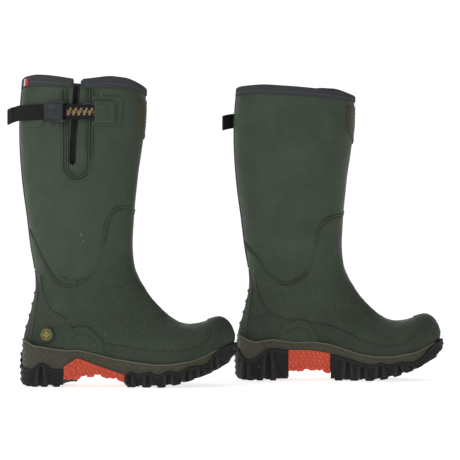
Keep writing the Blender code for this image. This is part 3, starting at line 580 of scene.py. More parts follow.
def woven(name, colour, light, pitch, depth=0.0004, second=None):
    """Woven tape: ribs that slant both ways along the piece's own length, with fuzz."""
    n = Nodes(name, roughness=0.85, specular=0.25)
    along, across = n.split(n.weave())[:2]
    turn = 2 * math.pi / (pitch * MM)
    ribs = n.math("SINE", n.math("MULTIPLY", n.math("ADD", along, across), turn))
    cross = n.math("SINE", n.math("MULTIPLY", n.math("SUBTRACT", along, across), turn))
    threads = n.math("MAXIMUM", ribs, cross)
    # Painted light: the threads' crests are drawn toward the light colour and their hollows stay dark, a
    # painted highlight and painted shade on the weave as well as its bump.
    shade = n.band(threads, -1.0, 1.0)
    fuzz = n.noise(700.0, 4.0)
    base = n.mix(n.math("MULTIPLY", shade, n.band(fuzz, 0.2, 0.8, 0.3, 1.0)), colour, light)
    if second:
        base = second(n, base, along, across)
    bump = n.bump(threads, 0.7, depth, n.bump(fuzz, 0.4, 0.0003))
    n.finish(base, None, bump)


def printed(n, base, along, across):
    """A plain run of slanted gold bars and dots, printed on the webbing where its tone is 1."""
    pitch, middle, slant = 0.0074, 0.0110, 0.42
    high = n.math("SUBTRACT", across, middle)
    place = n.math("FRACT", n.math("DIVIDE", n.math("ADD", along, n.math("MULTIPLY", high, slant)), pitch))
    bar = n.math("LESS_THAN", n.math("ABSOLUTE", n.math("SUBTRACT", place, 0.36)), 0.21)
    tall = n.math("LESS_THAN", n.math("ABSOLUTE", high), 0.0052)
    thin = n.math("LESS_THAN", n.math("ABSOLUTE", n.math("SUBTRACT", place, 0.78)), 0.10)
    short = n.math("LESS_THAN", n.math("ABSOLUTE", high), 0.0020)
    marks = n.math("MAXIMUM", n.math("MULTIPLY", bar, tall), n.math("MULTIPLY", thin, short))
    painted_light_and_wear = n.band(n.noise(900.0, 2.0), 0.30, 0.5)
    drawn = n.math("MULTIPLY", n.math("MULTIPLY", marks, n.math("MAXIMUM", n.tone(), 0.0)), painted_light_and_wear)
    return n.mix(drawn, base, (0.43, 0.29, 0.13))


def two_colours(n, base, along, across):
    """A white stripe woven across the label."""
    stripe = n.math("GREATER_THAN", along, 0.0055)
    return n.mix(stripe, base, (0.72, 0.70, 0.66))


GREEN, GREEN_LIGHT = (0.050, 0.069, 0.047), (0.080, 0.101, 0.070)


def make_materials():
    rubber("green_rubber", GREEN, GREEN_LIGHT, 0.52, 0.25, pebble=430.0, pebble_top=0.19)
    rubber("pebbled_green", (0.045, 0.061, 0.042), GREEN_LIGHT, 0.56, 0.25, pebble=520.0)
    rubber("spur_rubber", (0.066, 0.078, 0.062), (0.105, 0.122, 0.097), 0.6, 0.2, pebble=600.0)
    rubber("olive_rubber", (0.054, 0.050, 0.035), (0.150, 0.146, 0.104), 0.62, 0.25)
    rubber("black_rubber", (0.0072, 0.0078, 0.0076), (0.034, 0.036, 0.036), 0.6, 0.3)
    rubber("red_rubber", (0.60, 0.072, 0.036), (0.86, 0.17, 0.10), 0.45, 0.08)
    rubber("badge_rubber", (0.041, 0.046, 0.028), (0.150, 0.128, 0.056), 0.5, 0.2)
    rubber("emblem_rubber", (0.235, 0.205, 0.050), (0.33, 0.29, 0.10), 0.45, 0.1)
    rubber("grey_plastic", (0.032, 0.035, 0.040), (0.058, 0.063, 0.069), 0.42, 0.35, 1500.0, 0.0001)
    woven("binding_tape", (0.036, 0.038, 0.042), (0.085, 0.088, 0.096), 1.5)
    woven("webbing", (0.0055, 0.0055, 0.0055), (0.023, 0.024, 0.024), 1.9, 0.0006, second=printed)
    woven("label_cloth", (0.42, 0.03, 0.03), (0.70, 0.08, 0.07), 0.9, 0.0002, second=two_colours)
    woven("thread", (0.16, 0.16, 0.165), (0.30, 0.30, 0.31), 0.6, 0.0001)

    n = Nodes("neoprene", roughness=0.9, specular=0.2)
    n.shader.inputs["Sheen Weight"].default_value = 0.25
    knit = n.cells(900.0)
    base = n.mix(n.band(knit, 0.0, 0.6), (0.030, 0.031, 0.032), (0.010, 0.0105, 0.011))
    base = n.mix(n.band(n.noise(35.0), 0.4, 0.75, 0.0, 0.5), base, (0.045, 0.046, 0.047))
    n.finish(base, None, n.bump(knit, 0.6, 0.0006, n.bump(n.noise(300.0), 0.3, 0.0008)))

    n = Nodes("steel", roughness=0.32, metallic=1.0)
    brushed = n.noise(900.0, 3.0, stretch=(1.0, 1.0, 0.06))
    n.finish(n.mix(brushed, (0.36, 0.36, 0.37), (0.62, 0.62, 0.62)), n.band(brushed, 0.3, 0.7, 0.25, 0.45))

    n = Nodes("foam", roughness=0.92, specular=0.2)
    holes = n.cells(1300.0)
    coloured = n.mix(n.band(holes, 0.0, 0.5), (0.42, 0.39, 0.31), (0.60, 0.57, 0.47))
    n.finish(coloured, None, n.bump(holes, 0.5, 0.0004))

    n = Nodes("board", roughness=0.85, specular=0.25)
    fibre = n.noise(240.0, 6.0, 0.7, stretch=(0.2, 1.0, 1.0))
    n.finish(n.mix(fibre, (0.24, 0.16, 0.09), (0.44, 0.33, 0.20)), None, n.bump(fibre, 0.4, 0.0003))

    white = (1.0, 1.0, 1.0, 1.0)
    n = Nodes("floor", roughness=0.75, specular=0.15, Emission_Color=white, Emission_Strength=0.78)
    coloured = n.mix(n.noise(3.0), (0.52, 0.52, 0.52), (0.55, 0.55, 0.55))
    n.finish(coloured, None, n.bump(n.noise(400.0), 0.05, 0.0002))


# ---------------------------------------------------------------- the upper
def slit_edges(s):
    """The slit's front and rear edges, in degrees. Below its round end they part as plain columns."""
    t = np.clip((s - (SLIT_END - 0.14)) / 0.14, 0, 1)
    closing = 1 - np.sqrt(1 - t**2)
    closing = np.where(s > SLIT_END, np.clip(1 - (s - SLIT_END) / 0.8, 0, 1), closing)
    lean = 1.3 * np.clip(s / SLIT_END, 0, 1)
    front, rear = SLIT_FRONT + lean, SLIT_REAR + lean
    middle = 0.5 * (front + rear)
    return front + (middle - front) * closing, rear + (middle - rear) * closing


def waviness(s, a):
    """The slight unevenness of a dipped rubber wall."""
    turn = np.radians(a)
    leg = np.clip((9.0 - s) / 3.0, 0, 1)
    slow = np.sin(2 * turn + 0.9 * s) * np.sin(1.3 * s + 0.7) + 0.6 * np.sin(3 * turn - 1.7 * s + 2.0)
    return leg * 0.45 * slow + 0.18 * np.sin(7 * turn + 2.3 * s) * np.sin(2.9 * s)


def tuck(s, a):
    """How far the foot's inner side draws in at the waist, where the sole is narrow."""
    return 3.0 * np.exp(-(((s - 13.5) / 1.3) ** 2)) * np.exp(-(((a % 360 - 240) / 34) ** 2))


def upper_skin():
    """The rubber leg and foot as one skin, with the slit."""
    rows = np.unique(np.round(np.concatenate([
        np.linspace(0, RIM_FADE, 8), np.linspace(RIM_FADE, 2.3, 38), np.linspace(2.3, SLIT_END, 11),
        np.linspace(SLIT_END, ANKLE, 60), np.linspace(ANKLE, 18, 110), np.linspace(18, LAST, 56),
    ]), 5))
    near, far = 84, 107  # the columns between these angles lean with the slit
    front_side = np.concatenate([np.arange(0, near, 2.5), [84.5, 86.5, 88.5, 90.0]])
    rear_side = np.concatenate([[98.5, 100, 102, 104.5], np.arange(107.5, 360, 2.5)])
    front, rear = (edge[:, None] for edge in slit_edges(rows))
    middle = 0.5 * (front + rear)
    leaning_front = near + (front_side - near) * (front - near) / (SLIT_FRONT - near)
    leaning_rear = far - (far - rear_side) * (far - rear) / (far - SLIT_REAR)
    angles = np.hstack([
        np.where(front_side > near, leaning_front, front_side), front, middle, rear,
        np.where(rear_side < far, leaning_rear, rear_side),
    ])
    slit_columns = (len(front_side), len(front_side) + 1)
    s = np.repeat(rows[:, None], angles.shape[1], 1)
    near_slit = np.clip(np.abs(angles - middle) / 12, 0, 1)
    lift = waviness(s, angles) * np.clip(s / 0.5, 0, 1) * near_slit - tuck(s, angles)
    outer, inner = skin(s, angles, lift), skin(s, angles, lift - RUBBER)

    def keep(i, j):
        return not (rows[i + 1] <= SLIT_END + 1e-6 and j in slit_columns)

    shape = Shape()
    closed_sheet(shape, outer, inner, ring=True, keep=keep)
    for ring, depth, bulge in ((outer[-1], 0.0, 0.25), (inner[-1], RUBBER, 0.0)):
        tip = TOE_TIP - np.array((depth, 0, 0))
        close_toe(shape, [ring, 0.5 * (ring + tip) + np.array((bulge, 0, 0))], tip, depth == 0)
    add("upper_skin", shape, "green_rubber", ["leg_shell", "foot_shell"], slot="green_rubber", sharp=50)


# Side-view places (x, z) of the lines moulded in the upper.
SADDLE = [(155, 252.5), (147, 254), (134, 249), (124, 230), (119, 205), (112, 178), (97, 155), (76, 143.5),
          (56, 148), (38, 172), (22, 205), (13, 224)]
SADDLE_MEDIAL = [(155, 244.5), (142, 242), (127, 231), (119, 212), (116, 190), (105, 162), (88, 148),
                 (72, 144), (54, 153), (40, 170), (25, 190), (12, 207)]
COUNTER = [(29, 158), (31, 142), (35, 126), (45, 109), (58, 100), (70, 93.5)]
COUNTER_MEDIAL = [(29, 158), (31, 140), (36, 121), (46, 105), (54, 100)]
ANKLE_PAD = [(66, 73), (73, 80), (84, 84.5), (95, 84.5), (104, 80.5), (112, 71.5), (118, 60), (122, 50),
             (119, 43), (95, 43), (70, 46), (65, 52), (64, 63)]
ANKLE_PAD_MEDIAL = [(66, 73), (73, 81), (84, 87), (95, 89.5), (105, 87), (113, 79), (121, 66), (126, 54),
                    (122, 49), (96, 50), (72, 51), (66, 55), (64, 64)]
PAD_ARC = [(72, 68), (84, 73.5), (95, 73), (103, 67), (109, 58), (112, 51)]
PAD_ARC_MEDIAL = [(74, 68), (84, 75), (94, 77.5), (103, 75), (110, 67), (116, 57)]
INNER_ARC = [(58, 156), (76, 150.5), (98, 156), (108, 168)]


def moulded_lines():
    """The lines moulded in the leg and the ankle: the saddle's two, the counter's and the ankle pads."""
    shape = Shape()
    front_middle = (3.78, 0.0)
    outer_half, inner_half = on_side(SADDLE, "lateral"), on_side(SADDLE_MEDIAL, "medial")
    line = smooth_path([*reversed(outer_half), front_middle, *((s, a - 360) for s, a in inner_half)])
    ridge(shape, line[::6], 2.4, 1.5)
    s, a = line.T
    second_line = 3.9 * 0.1 / np.linalg.norm(section(s + 0.05, a) - section(s - 0.05, a), axis=1)
    climb = np.gradient(section(s, a)[:, 2]) / PATH_STEP
    below = np.stack([s + second_line * np.sqrt(np.clip(1 - climb**2, 0.05, 1)), a - 2.6 * climb], 1)
    ridge(shape, below[4:-4:6], 1.8, 1.0)
    ridge(shape, on_side(INNER_ARC, "lateral"), 1.8, 0.9)
    for side, counter, outline, arc in (
        ("lateral", COUNTER, ANKLE_PAD, PAD_ARC), ("medial", COUNTER_MEDIAL, ANKLE_PAD_MEDIAL, PAD_ARC_MEDIAL)
    ):
        ridge(shape, on_side(counter, side), 2.4, 1.2)
        pad(shape, on_side(outline, side), 1.3, 1.3, edge=1.6, sink=2.2)
        ridge(shape, on_side(arc, side), 2.0, 0.9, offset=2.55)
    add("moulded_lines", shape, "green_rubber", [], slot="green_rubber")


def slit_band():
    """The U-shaped band round the slit, with its three raised lines."""
    front_x, rear_x, low = 100.5, 66.5, 311.0
    turns = np.radians(np.linspace(0, -180, 7))
    middle, half = 0.5 * (front_x + rear_x), 0.5 * (front_x - rear_x)
    points = [(front_x + 1, 418), (front_x + 1, 385), (front_x + 0.5, 345)]
    points += [(middle + half * math.cos(t), low + half * math.sin(t)) for t in turns]
    points += [(rear_x, 345), (rear_x - 1, 385), (rear_x - 1, 419)]
    path = smooth_path(on_side(points, "lateral"), 1.2)
    # The tone column is painted light: a painted highlight on the three lines' tops and painted shade at
    # their feet and in the hollows between them.
    profile = [  # across, out, tone
        (6.4, -0.4, 0), (6.3, 0.05, 0), (5.2, 0.06, -0.8), (4.9, 0.9, -0.2), (4.3, 1.9, 0.4), (3.6, 1.8, 0.3),
        (3.1, 0.6, -0.6), (1.7, 0.5, -0.6), (1.1, 1.5, 0.2), (0.2, 1.5, 0.2), (-0.4, 0.5, -0.6),
        (-2.2, 0.5, -0.6), (-2.8, 1.9, 0.2), (-3.9, 2.0, 0.4), (-4.7, 0.9, -0.2), (-5.0, 0.06, -0.8),
        (-6.1, 0.05, 0), (-6.2, -0.4, 0),
    ]
    shape = Shape()
    tones = [tone for _, _, tone in profile]
    sweep(shape, skin(*path.T), normal(*path.T), [place[:2] for place in profile], tones=tones)
    cover("slit_band", shape, "green_rubber", sharp=60)


def strip_rows(low, high, half_angle, count):
    """Rows and angles of a strip down the back, and each place's share of the way across, from -1 to 1."""
    rows = np.arange(low, high + 1e-6, 0.05)
    share = np.linspace(-1, 1, count)
    s = np.repeat(rows[:, None], count, 1)
    return s, 180 + half_angle(rows)[:, None] * share, np.broadcast_to(share, s.shape)


def back_stay():
    """The narrow strip down the back of the leg, with a bead near each edge."""
    s, a, share = strip_rows(0.24, ANKLE, lambda s: 4.6 + 0 * s, 13)
    thick = 1.5 * (1 - np.abs(share) ** 6) + 0.5 * np.exp(-((np.abs(share) - 0.72) / 0.12) ** 2)
    shape = Shape()
    closed_sheet(shape, skin(s, a, thick - 0.3), skin(s, a, -0.6))
    cover("back_stay", shape, "green_rubber", sharp=60)


# The spur's half width in degrees, its thickness and its ribs, by the skin's rows.
SPUR_REACH = [(6.05, 7), (6.4, 13), (6.8, 19), (7.4, 23), (8.2, 26.5), (8.8, 28.5), (9.4, 30)]
SPUR_THICK = [(6.05, 0.8), (6.6, 1.6), (7, 2.0), (7.6, 2.7), (8.2, 4.0), (8.7, 6.2), (9.1, 8.4), (9.4, 8.6)]
SPUR_RIBS = (7.22, 7.74, 8.24, 8.72)


def heel_spur():
    """The kick panel down the back of the heel, with its ribs."""
    s, a, share = strip_rows(6.05, 9.4, lambda s: soft_level(SPUR_REACH, s, 0.1), 41)
    crown = np.cos(0.5 * math.pi * share)
    thick = 0.9 + (soft_level(SPUR_THICK, s, 0.05) - 0.9) * crown
    for rib in SPUR_RIBS:
        thick = thick + 1.9 * np.exp(-(((s - rib) / 0.06) ** 2)) * np.exp(-((share / 0.5) ** 4))
    edge = np.exp(-(((np.abs(share) - 0.9) / 0.05) ** 2))
    thick = (thick + 0.8 * edge) * (1 - np.abs(share) ** 20) - 0.25
    # Painted light: a painted highlight along the raised edge bead, and painted shade at the very edges where
    # the spur meets the skin.
    tones = 0.35 * edge - 1.0 * np.clip((np.abs(share) - 0.94) / 0.06, 0, 1)
    shape = Shape()
    closed_sheet(shape, skin(s, a, thick), skin(s, a, -0.8), tones=tones)
    cover("heel_spur", shape, "spur_rubber", "green_rubber", sharp=60)


# Side-view places (x, z) of the foxing's upper edge, on the lateral and on the medial side.
FOXING_EDGE = (
    [(74, 90), (92, 76), (112, 65), (136, 59.5), (170, 54), (203, 51.5), (235, 53), (256, 58), (269, 69),
     (272, 82)],
    [(52, 99), (82, 89.5), (112, 86), (139, 82), (166, 71.5), (188, 60.5), (224, 51.5), (248, 56), (266, 69),
     (271, 82)],
)


def foxing():
    """The pebbled rand round the foot, which rises into the toe cap."""
    lateral, medial = FOXING_EDGE
    top = [*on_side(lateral, "lateral"), (17.75, 12.0), (17.65, 0.0), (17.75, -12.0)]
    top = np.array(top + [(s, a - 360) for s, a in reversed(on_side(medial, "medial"))])
    s_top, a_top = between(top, np.linspace(0, len(top) - 1, 260)).T
    # Each column runs down to the sole or, where the edge crosses the toe, on to the toe's tip.
    shares = np.concatenate([[0, 0, 0.008, 0.02, 0.045], np.linspace(0.09, 1, 30)])[:, None]
    lift = np.full(shares.shape, 1.5)
    lift[:4, 0] = -0.5, 0.5, 1.1, 1.4
    front = np.clip((s_top - 16.2) / 1.4, 0, 1)
    s = s_top + (LAST - s_top) * front * shares
    a = a_top + np.where(a_top >= 0, 1.0, -1.0) * np.maximum(0, 150 - np.abs(a_top)) * (1 - front) * shares
    cap = np.clip((s - 17.6) / 0.8, 0, 1) * np.clip((21.5 - s) / 2.0, 0, 1)
    shape = Shape()
    closed_sheet(shape, skin(s, a, lift + 0.5 * cap - tuck(s, a)), skin(s, a, np.full(s.shape, -0.6)))
    cover("foxing", shape, "pebbled_green", "green_rubber", sharp=60)


def side_patch(shape, corners, radius, thick, offset=0.0, edge=0.9):
    """A pad on the outer side, inside corners (x, z) given in side view."""
    pad(shape, on_side(rounded(corners, radius, 3), "lateral"), thick, offset, edge)


def leg_patches():
    """The patches that hold the strap."""
    for node, patches in (
        ("strap_front_patch", [
            ([(104, 368.5), (140, 367.5), (146, 375), (146.5, 409), (104, 411)], 5, 1.9, 0.0, 0.9),
            ([(106.5, 371.5), (135, 371), (135, 403), (106.5, 403)], 4, 5.8, 0.2, 1.8),
            ([(110, 378), (124, 377.5), (124, 397.5), (110, 397.5)], 3, 0.9, 5.8, 0.6),
        ]),
        ("strap_rear_patch", [
            ([(5, 367.5), (31, 366.5), (37, 372), (37, 390), (5, 394)], 6, 2.0, 0.0, 0.9),
            ([(9, 370.5), (30, 369.8), (34, 373.5), (34, 388), (9, 390)], 5, 0.7, 1.9, 0.6),
        ]),
    ):
        shape = Shape()
        for patch in patches:
            side_patch(shape, *patch)
        cover(node, shape, "green_rubber", sharp=60)


def front_badge():
    """The shield on the shin, with a plain border and chevrons."""
    middle, lowest = (1.03, 0.0), (1.66, 0)
    half = [(0.42, 0), (0.44, 27), (0.5, 29.5), (0.9, 29.5), (1.2, 28), (1.36, 20), (1.56, 7)]
    badge = np.array([(s, -a) for s, a in half[1:2]] + half + [lowest] + [(s, -a) for s, a in half[:1:-1]])
    shape = Shape()
    pad(shape, badge, 1.5, edge=1.2, dome=0.3)
    border = (badge - middle) * (0.86, 0.84) + middle
    # These ridges' strong tone draws their tops to the badge rubber's pale gold, for the badge's printed gold
    # lines, and paints shade in the grooves beside them.
    ridge(shape, border, 1.5, 0.6, 1.62, light=1.0, closed=True)
    for s in np.arange(0.62, 1.25, 0.105):
        reach = 20 if s < 1.15 else 14
        ridge(shape, [(s, -reach), (s + 0.045, 0), (s, reach)], 1.6, 0.5, 1.7, light=0.9)
    cover("front_badge", shape, "badge_rubber", sharp=60)


BADGE_AT = (9.35, 123.0)  # row and degrees
BADGE_RADIUS = 11.4


def ankle_badge():
    """The round badge on the outer side of the heel, with a plain ring and lozenge."""
    centre, out = section(*BADGE_AT), normal(*BADGE_AT)
    across = np.cross((0, 0, 1), out)
    across /= np.linalg.norm(across)
    axes = np.stack([across, np.cross(out, across)])

    def turned(profile, count):
        """Rings of a profile of (share of the radius, height) turned round the badge's middle."""
        rings = [centre + out * high + circle(BADGE_RADIUS * share, count) @ axes for share, high in profile]
        return np.array(rings)

    disc, emblem = Shape(), Shape()
    profile = [(1, -1), (1, 3.2), (0.985, 3.8), (0.95, 4.2), (0.9, 4.35), (0.82, 4.3)]
    profile += [(0.79, 3.9), (0.4, 4.0), (0.02, 4.05)]
    disc.grid(turned(profile, 48), round_columns=True, caps=True)
    cover("ankle_badge", disc, "green_rubber", "badge_rubber", sharp=50)
    for middle, half, count in ((0.64, 0.075, 48), (0.28, 0.28, 4)):
        low, mid, top = 3.8, 4.45, 4.7
        steps = [(half, low), (half, mid), (0.7 * half, top), (-0.7 * half, top), (-half, mid), (-half, low)]
        rings = turned([(max(0.01, middle + step), high) for step, high in steps], count)
        emblem.grid(rings, round_columns=True, caps=count == 4)
    add("ankle_emblem", emblem, "emblem_rubber", [], slot="badge_rubber", sharp=35)


BINDING_LOW = 0.235  # the row along its lower edge


def rim_binding():
    """The binding tape folded over the rim."""
    thick, lift = 1.5, 0.25
    rows_out = [(BINDING_LOW, 0.05), (BINDING_LOW - 0.008, 0.8), (0.2, 1.0), (0.165, 0.95), (0.14, 0.72),
                (0.115, 0.95), (0.08, 1.0), (0.04, 1.0), (0.0, 1.0)]
    rows_in = [(0.0, 1.0), (0.08, 1.0), (0.16, 1.0), (BINDING_LOW - 0.01, 0.9), (BINDING_LOW, 0.1)]
    angles = np.linspace(98.6, 449.4, 230)
    out_edge, in_edge = skin(0.0, angles, lift + thick), skin(0.0, angles, -(LINING_IN + lift + thick))
    middle, half = 0.5 * (out_edge + in_edge), 0.5 * (out_edge - in_edge)
    rings = [skin(s, angles, lift + thick * f) for s, f in rows_out]
    for t in np.linspace(0, math.pi, 7):
        rings.append(middle + half * math.cos(t) + (0, 0, (thick + lift) * (0.6 + 0.7 * math.sin(t))))
    rings += [skin(s, angles, -(LINING_IN + lift + thick * f)) for s, f in rows_in]
    rings += [skin(s, angles, -(LINING_IN + lift)) for s, _ in reversed(rows_in)]
    rings += [skin(s, angles, lift) for s, _ in reversed(rows_out)]
    rings = np.array(rings).transpose(1, 0, 2)
    shape = Shape()
    uvs = woven_places(run_length(rings[:, 0]), run_length(rings[0]))
    shape.grid(rings, round_columns=True, caps=True, uvs=uvs)
    cover("rim_binding", shape, "binding_tape", sharp=50)


def rim_stitches():
    """The row of stitches in the binding."""
    stitches, step, row = Shape(), 3.1, 0.14
    dense = np.linspace(101, 447, 1200)
    along = run_length(section(row, dense))
    for start in np.arange(0, along[-1] - step, step):
        ends = np.interp([start, start + 0.3 * step, start + 0.6 * step], along, dense)
        path = skin(row, ends, np.array([1.25, 1.75, 1.25]))
        sweep(stitches, path, normal(row, ends), circle(0.34, 6), np.array([0.5, 1.0, 0.5]))
    add("rim_stitches", stitches, "thread", [], slot="binding_tape")


def side_label():
    """The small woven tab on the binding."""
    first, last = 149.5, 158.5
    s, a = np.meshgrid(np.linspace(0.03, 0.215, 9), np.linspace(first, last, 13), indexing="ij")
    curl = 2.15 + 0.35 * np.clip((s - 0.12) / 0.1, 0, 1) ** 2
    label = Shape()
    closed_sheet(label, skin(s, a, curl + 0.55), skin(s, a, curl), uvs=np.stack([a - first, s * 47], -1))
    cover("side_label", label, "label_cloth", sharp=50)


def gusset():
    """The bellows behind the slit."""
    folds = [(79.5, 0.4), (81, 0.5), (86, 4.7), (91, 0.7), (94.3, 5.6), (98, 0.7), (102.5, 4.7), (107, 0.5),
             (108.5, 0.4)]
    top_row = 0.2
    s, a = np.meshgrid(np.linspace(top_row, 2.95, 46), np.linspace(79.5, 108.5, 75), indexing="ij")
    depth = soft_level(folds, a, 0.7)
    depth = depth * (1 - 0.75 * np.clip((s - 2.3) / 0.65, 0, 1)) + 0.12 * np.sin(9 * s + 0.5 * a)
    shape = Shape()
    closed_sheet(shape, skin(s, a, -LINING_OUT - depth), skin(s, a, -LINING_OUT - depth - 1.2))
    hem = np.linspace(80, 108, 15)
    path = skin(top_row, hem, -LINING_OUT - soft_level(folds, hem, 0.7) - 0.6)
    sweep(shape, path, np.tile((0.0, 0, 1.0), (len(hem), 1)), circle(1.1, 8, 1.6))
    cover("gusset", shape, "neoprene", sharp=60)


def lining():
    """The neoprene bootie, open behind the slit."""
    opening_front, opening_rear, opening_end = 79, 110, 3.2
    rows = np.concatenate([np.arange(0, 8, 0.2), np.arange(8, 21.2, 0.4)])
    behind_slit = [opening_front, 87, 94.5, 102, opening_rear]
    angles = np.concatenate([np.arange(0, 79, 4.0), behind_slit, np.arange(114, 360, 4.0)])
    s, a = np.meshgrid(rows, angles, indexing="ij")
    room = STIFFENER_ROOM * np.clip(s - 6.5, 0, 1)
    soft = 0.35 * np.sin(5 * np.radians(a) + 1.1 * s) * np.sin(1.9 * s)

    def keep(i, j):
        return not (rows[i + 1] <= opening_end + 1e-6 and opening_front <= angles[j] < opening_rear)

    shape = Shape()
    inner = skin(s, a, -LINING_IN - room + soft - 0.3)
    closed_sheet(shape, skin(s, a, -LINING_OUT - room), inner, ring=True, keep=keep)
    for level in (LINING_OUT, LINING_IN):
        tip = TOE_TIP - np.array((level + STIFFENER_ROOM, 0, 0))
        close_toe(shape, [skin(s[-1], a[-1], -level - room[-1])], tip, level == LINING_OUT)
    add("lining_v", shape, "neoprene", ["lining_bootie"], slot="neoprene", sharp=60)


def footbed():
    """The cushioned sole inside the bootie."""
    s, a = np.meshgrid(np.linspace(11, 19.5, 70), np.linspace(140, 220, 31), indexing="ij")
    top = -(RUBBER + 0.7 + STIFFENER_ROOM + 4.0)
    across = (a - 180) / 40
    crown = 4.2 * (1 - np.abs(across) ** 8) * (1 - np.abs((s - 15.25) / 4.25) ** 14)
    quilt = 0.35 * np.sin(1.5 * (a - 180) * 0.35 + 4 * s) * np.sin(4 * s - 0.5 * (a - 180))
    shape = Shape()
    face = skin(s, a, top - 0.3 - crown - quilt * np.clip(crown, 0, 1))
    closed_sheet(shape, skin(s, a, np.full(s.shape, top)), face)
    cover("footbed", shape, "foam", padded=0.8)


# ---------------------------------------------------------------- the strap and its buckle
def strap():
    """The webbing, with its hemmed and drooping tail."""
    start, end = (math.asin((x - STRAP_AXIS[0]) / STRAP_RADIUS) for x in (STRAP_FRONT_X, STRAP_TAIL_X))
    turns = np.linspace(start, end, 150)
    out = np.stack([np.sin(turns), -np.cos(turns)], 1)
    x = STRAP_AXIS[0] + STRAP_RADIUS * out[:, 0]
    droop = -4.5 * np.clip((2.0 - x) / 19.0, 0, 1) ** 1.6
    hem = 1.6 * np.clip((STRAP_TAIL_X + 9.0 - x) / 1.5, 0, 1)
    wave = 0.15 * np.sin(0.35 * x)
    low_half = np.array([-1, -0.985, -0.95])
    up = np.concatenate([low_half, np.linspace(-0.9, 0.9, 13), -low_half[::-1]])
    round_off = 0.5 * STRAP_THICK * (1 - np.minimum(1.0, (1 - np.abs(up)) / 0.05)) ** 2
    face = STRAP_RADIUS + STRAP_THICK + hem[:, None] - round_off + wave[:, None] * (1 - up**2)
    back = np.broadcast_to(STRAP_RADIUS + round_off[::-1], face.shape)
    up = np.concatenate([up, up[::-1]])
    half = 0.5 * (STRAP_HIGH - STRAP_LOW)
    rows = np.dstack([
        STRAP_AXIS + out[:, None] * np.hstack([face, back])[..., None],
        STRAP_LOW + half + half * up + droop[:, None],
    ])
    printed_stretch = ((x > 70) & (x < 107)).astype(float)
    tones = np.hstack([np.broadcast_to(printed_stretch[:, None], face.shape), np.zeros(face.shape)])
    shape = Shape()
    uvs = woven_places(STRAP_RADIUS * (start - turns), half * (up + 1))
    shape.grid(rows, round_columns=True, caps=True, uvs=uvs, tones=tones)
    cover("strap", shape, "webbing", body="strap", sharp=60)


def loose_thread():
    """A frayed thread on the strap's upper edge."""
    t = np.linspace(0, 1, 26)
    face = STRAP_RADIUS + STRAP_THICK + 0.5
    turn = math.asin((92.0 - STRAP_AXIS[0]) / face) + 0.16 * t
    radius = face + 0.6 * np.sin(5 * t)
    path = np.stack([
        STRAP_AXIS[0] + radius * np.sin(turn),
        STRAP_AXIS[1] - radius * np.cos(turn),
        STRAP_HIGH - 1 + 3.2 * np.sin(2.6 * t) - 4 * t,
    ], 1)
    thread = Shape()
    sweep(thread, path, np.tile((0.0, -1.0, 0.0), (len(t), 1)), circle(0.22, 6))
    add("loose_thread", thread, "thread", [], body="strap", slot="webbing")


def buckle():
    """The moulded buckle: its frame, lever and pin."""
    reach = STRAP_RADIUS + STRAP_THICK + PIN_LIFT
    from_axis = PIN_X - STRAP_AXIS[0]
    pin_y = STRAP_AXIS[1] - math.sqrt(reach**2 - from_axis**2)
    pin = np.array((PIN_X, pin_y, 0.5 * (STRAP_LOW + STRAP_HIGH)))
    out = np.array((from_axis, pin_y - STRAP_AXIS[1], 0.0)) / reach
    back, up = np.array((out[1], -out[0], 0.0)), np.array((0, 0, 1.0))
    half = 0.5 * (STRAP_HIGH - STRAP_LOW)

    def at(b, o, h):
        return pin + back * b + out * o + up * h

    def plate(shape, corners, radius, low, high, bevel):
        """A block on the face of the strap: its corners are (back, up) from the pin."""
        block(shape, [at(b, 0, h) for b, h in rounded(corners, radius)], out, low, high, bevel)

    shape = Shape()
    web = -(PIN_LIFT + STRAP_THICK)
    near, far = half + 0.5, half + 3.0
    cheek = rounded([(-7, web - 2.1), (9, web - 2.1), (9, 0.9), (6, 2.7), (-4, 2.7), (-7, 0.5)], 1.8)
    for sign in (-1, 1):
        block(shape, [at(b, o, 0) for b, o in cheek], up, sign * near, sign * far, bevel=0.6)
    side = near + 0.8
    plate(shape, [(-7, -side), (9, -side), (9, side), (-7, side)], 1.0, web - 2.1, web - 0.7, 0.3)
    lip = [(-9.2, -half + 0.5), (-6.6, -half - 2), (-6.6, half + 2), (-9.2, half - 0.5)]
    plate(shape, lip, 1.0, web - 2.0, web - 0.5, 0.3)
    cover("buckle_frame", shape, "grey_plastic")

    shape = Shape()
    turns = np.radians(np.linspace(20, -262, 22))
    hub = [(2.5 * math.cos(t), 2.5 * math.sin(t)) for t in turns]
    top = [(6, 2.75), (12, 2.65), (18, 2.3), (21.5, 2.55), (23.6, 3.1), (24.3, 2.9), (24.6, 2.3), (24.2, 1.7)]
    below = [(21.5, 1.0), (18, 0.75), (12, 0.75), (7, 0.95), (4, 0.95)]
    profile = np.array([*hub, *top, *below])
    middle = profile.mean(0)
    edge = half - 0.1
    ends = [(edge, 0.9), (edge - 0.25, 0.97), (edge - 0.8, 1.0), (edge * 0.5, 1.0)]
    rings = []
    for height, shrink in [(-h, share) for h, share in ends] + [(0, 1.0)] + ends[::-1]:
        ring = middle + (profile - middle) * (1 - (1 - shrink) * 0.25, shrink)
        rings.append([at(b, o, height) for b, o in ring])
    shape.grid(np.array(rings), round_columns=True, caps=True)
    side = edge - 2.6
    plate(shape, [(6.5, -side), (20, -side), (20, side), (6.5, side)], 2.0, 2.0, 3.1, 0.35)
    for size, high in ((3.6, 3.5), (1.6, 3.8)):
        lozenge = [(13.2 - size, 0), (13.2, -size * 0.8), (13.2 + size, 0), (13.2, size * 0.8)]
        plate(shape, lozenge, 0.5, 2.5, high, 0.25)
    cover("buckle_lever", shape, "grey_plastic", body="lever", sharp=35)

    shape = Shape()
    ring = [at(b, o, 0) for b, o in circle(1.2, 24)]
    for sign in (1, -1):
        block(shape, ring, up, -sign * far, sign * (far + 0.35), bevel=0.3)
    cover("buckle_pin", shape, "steel")


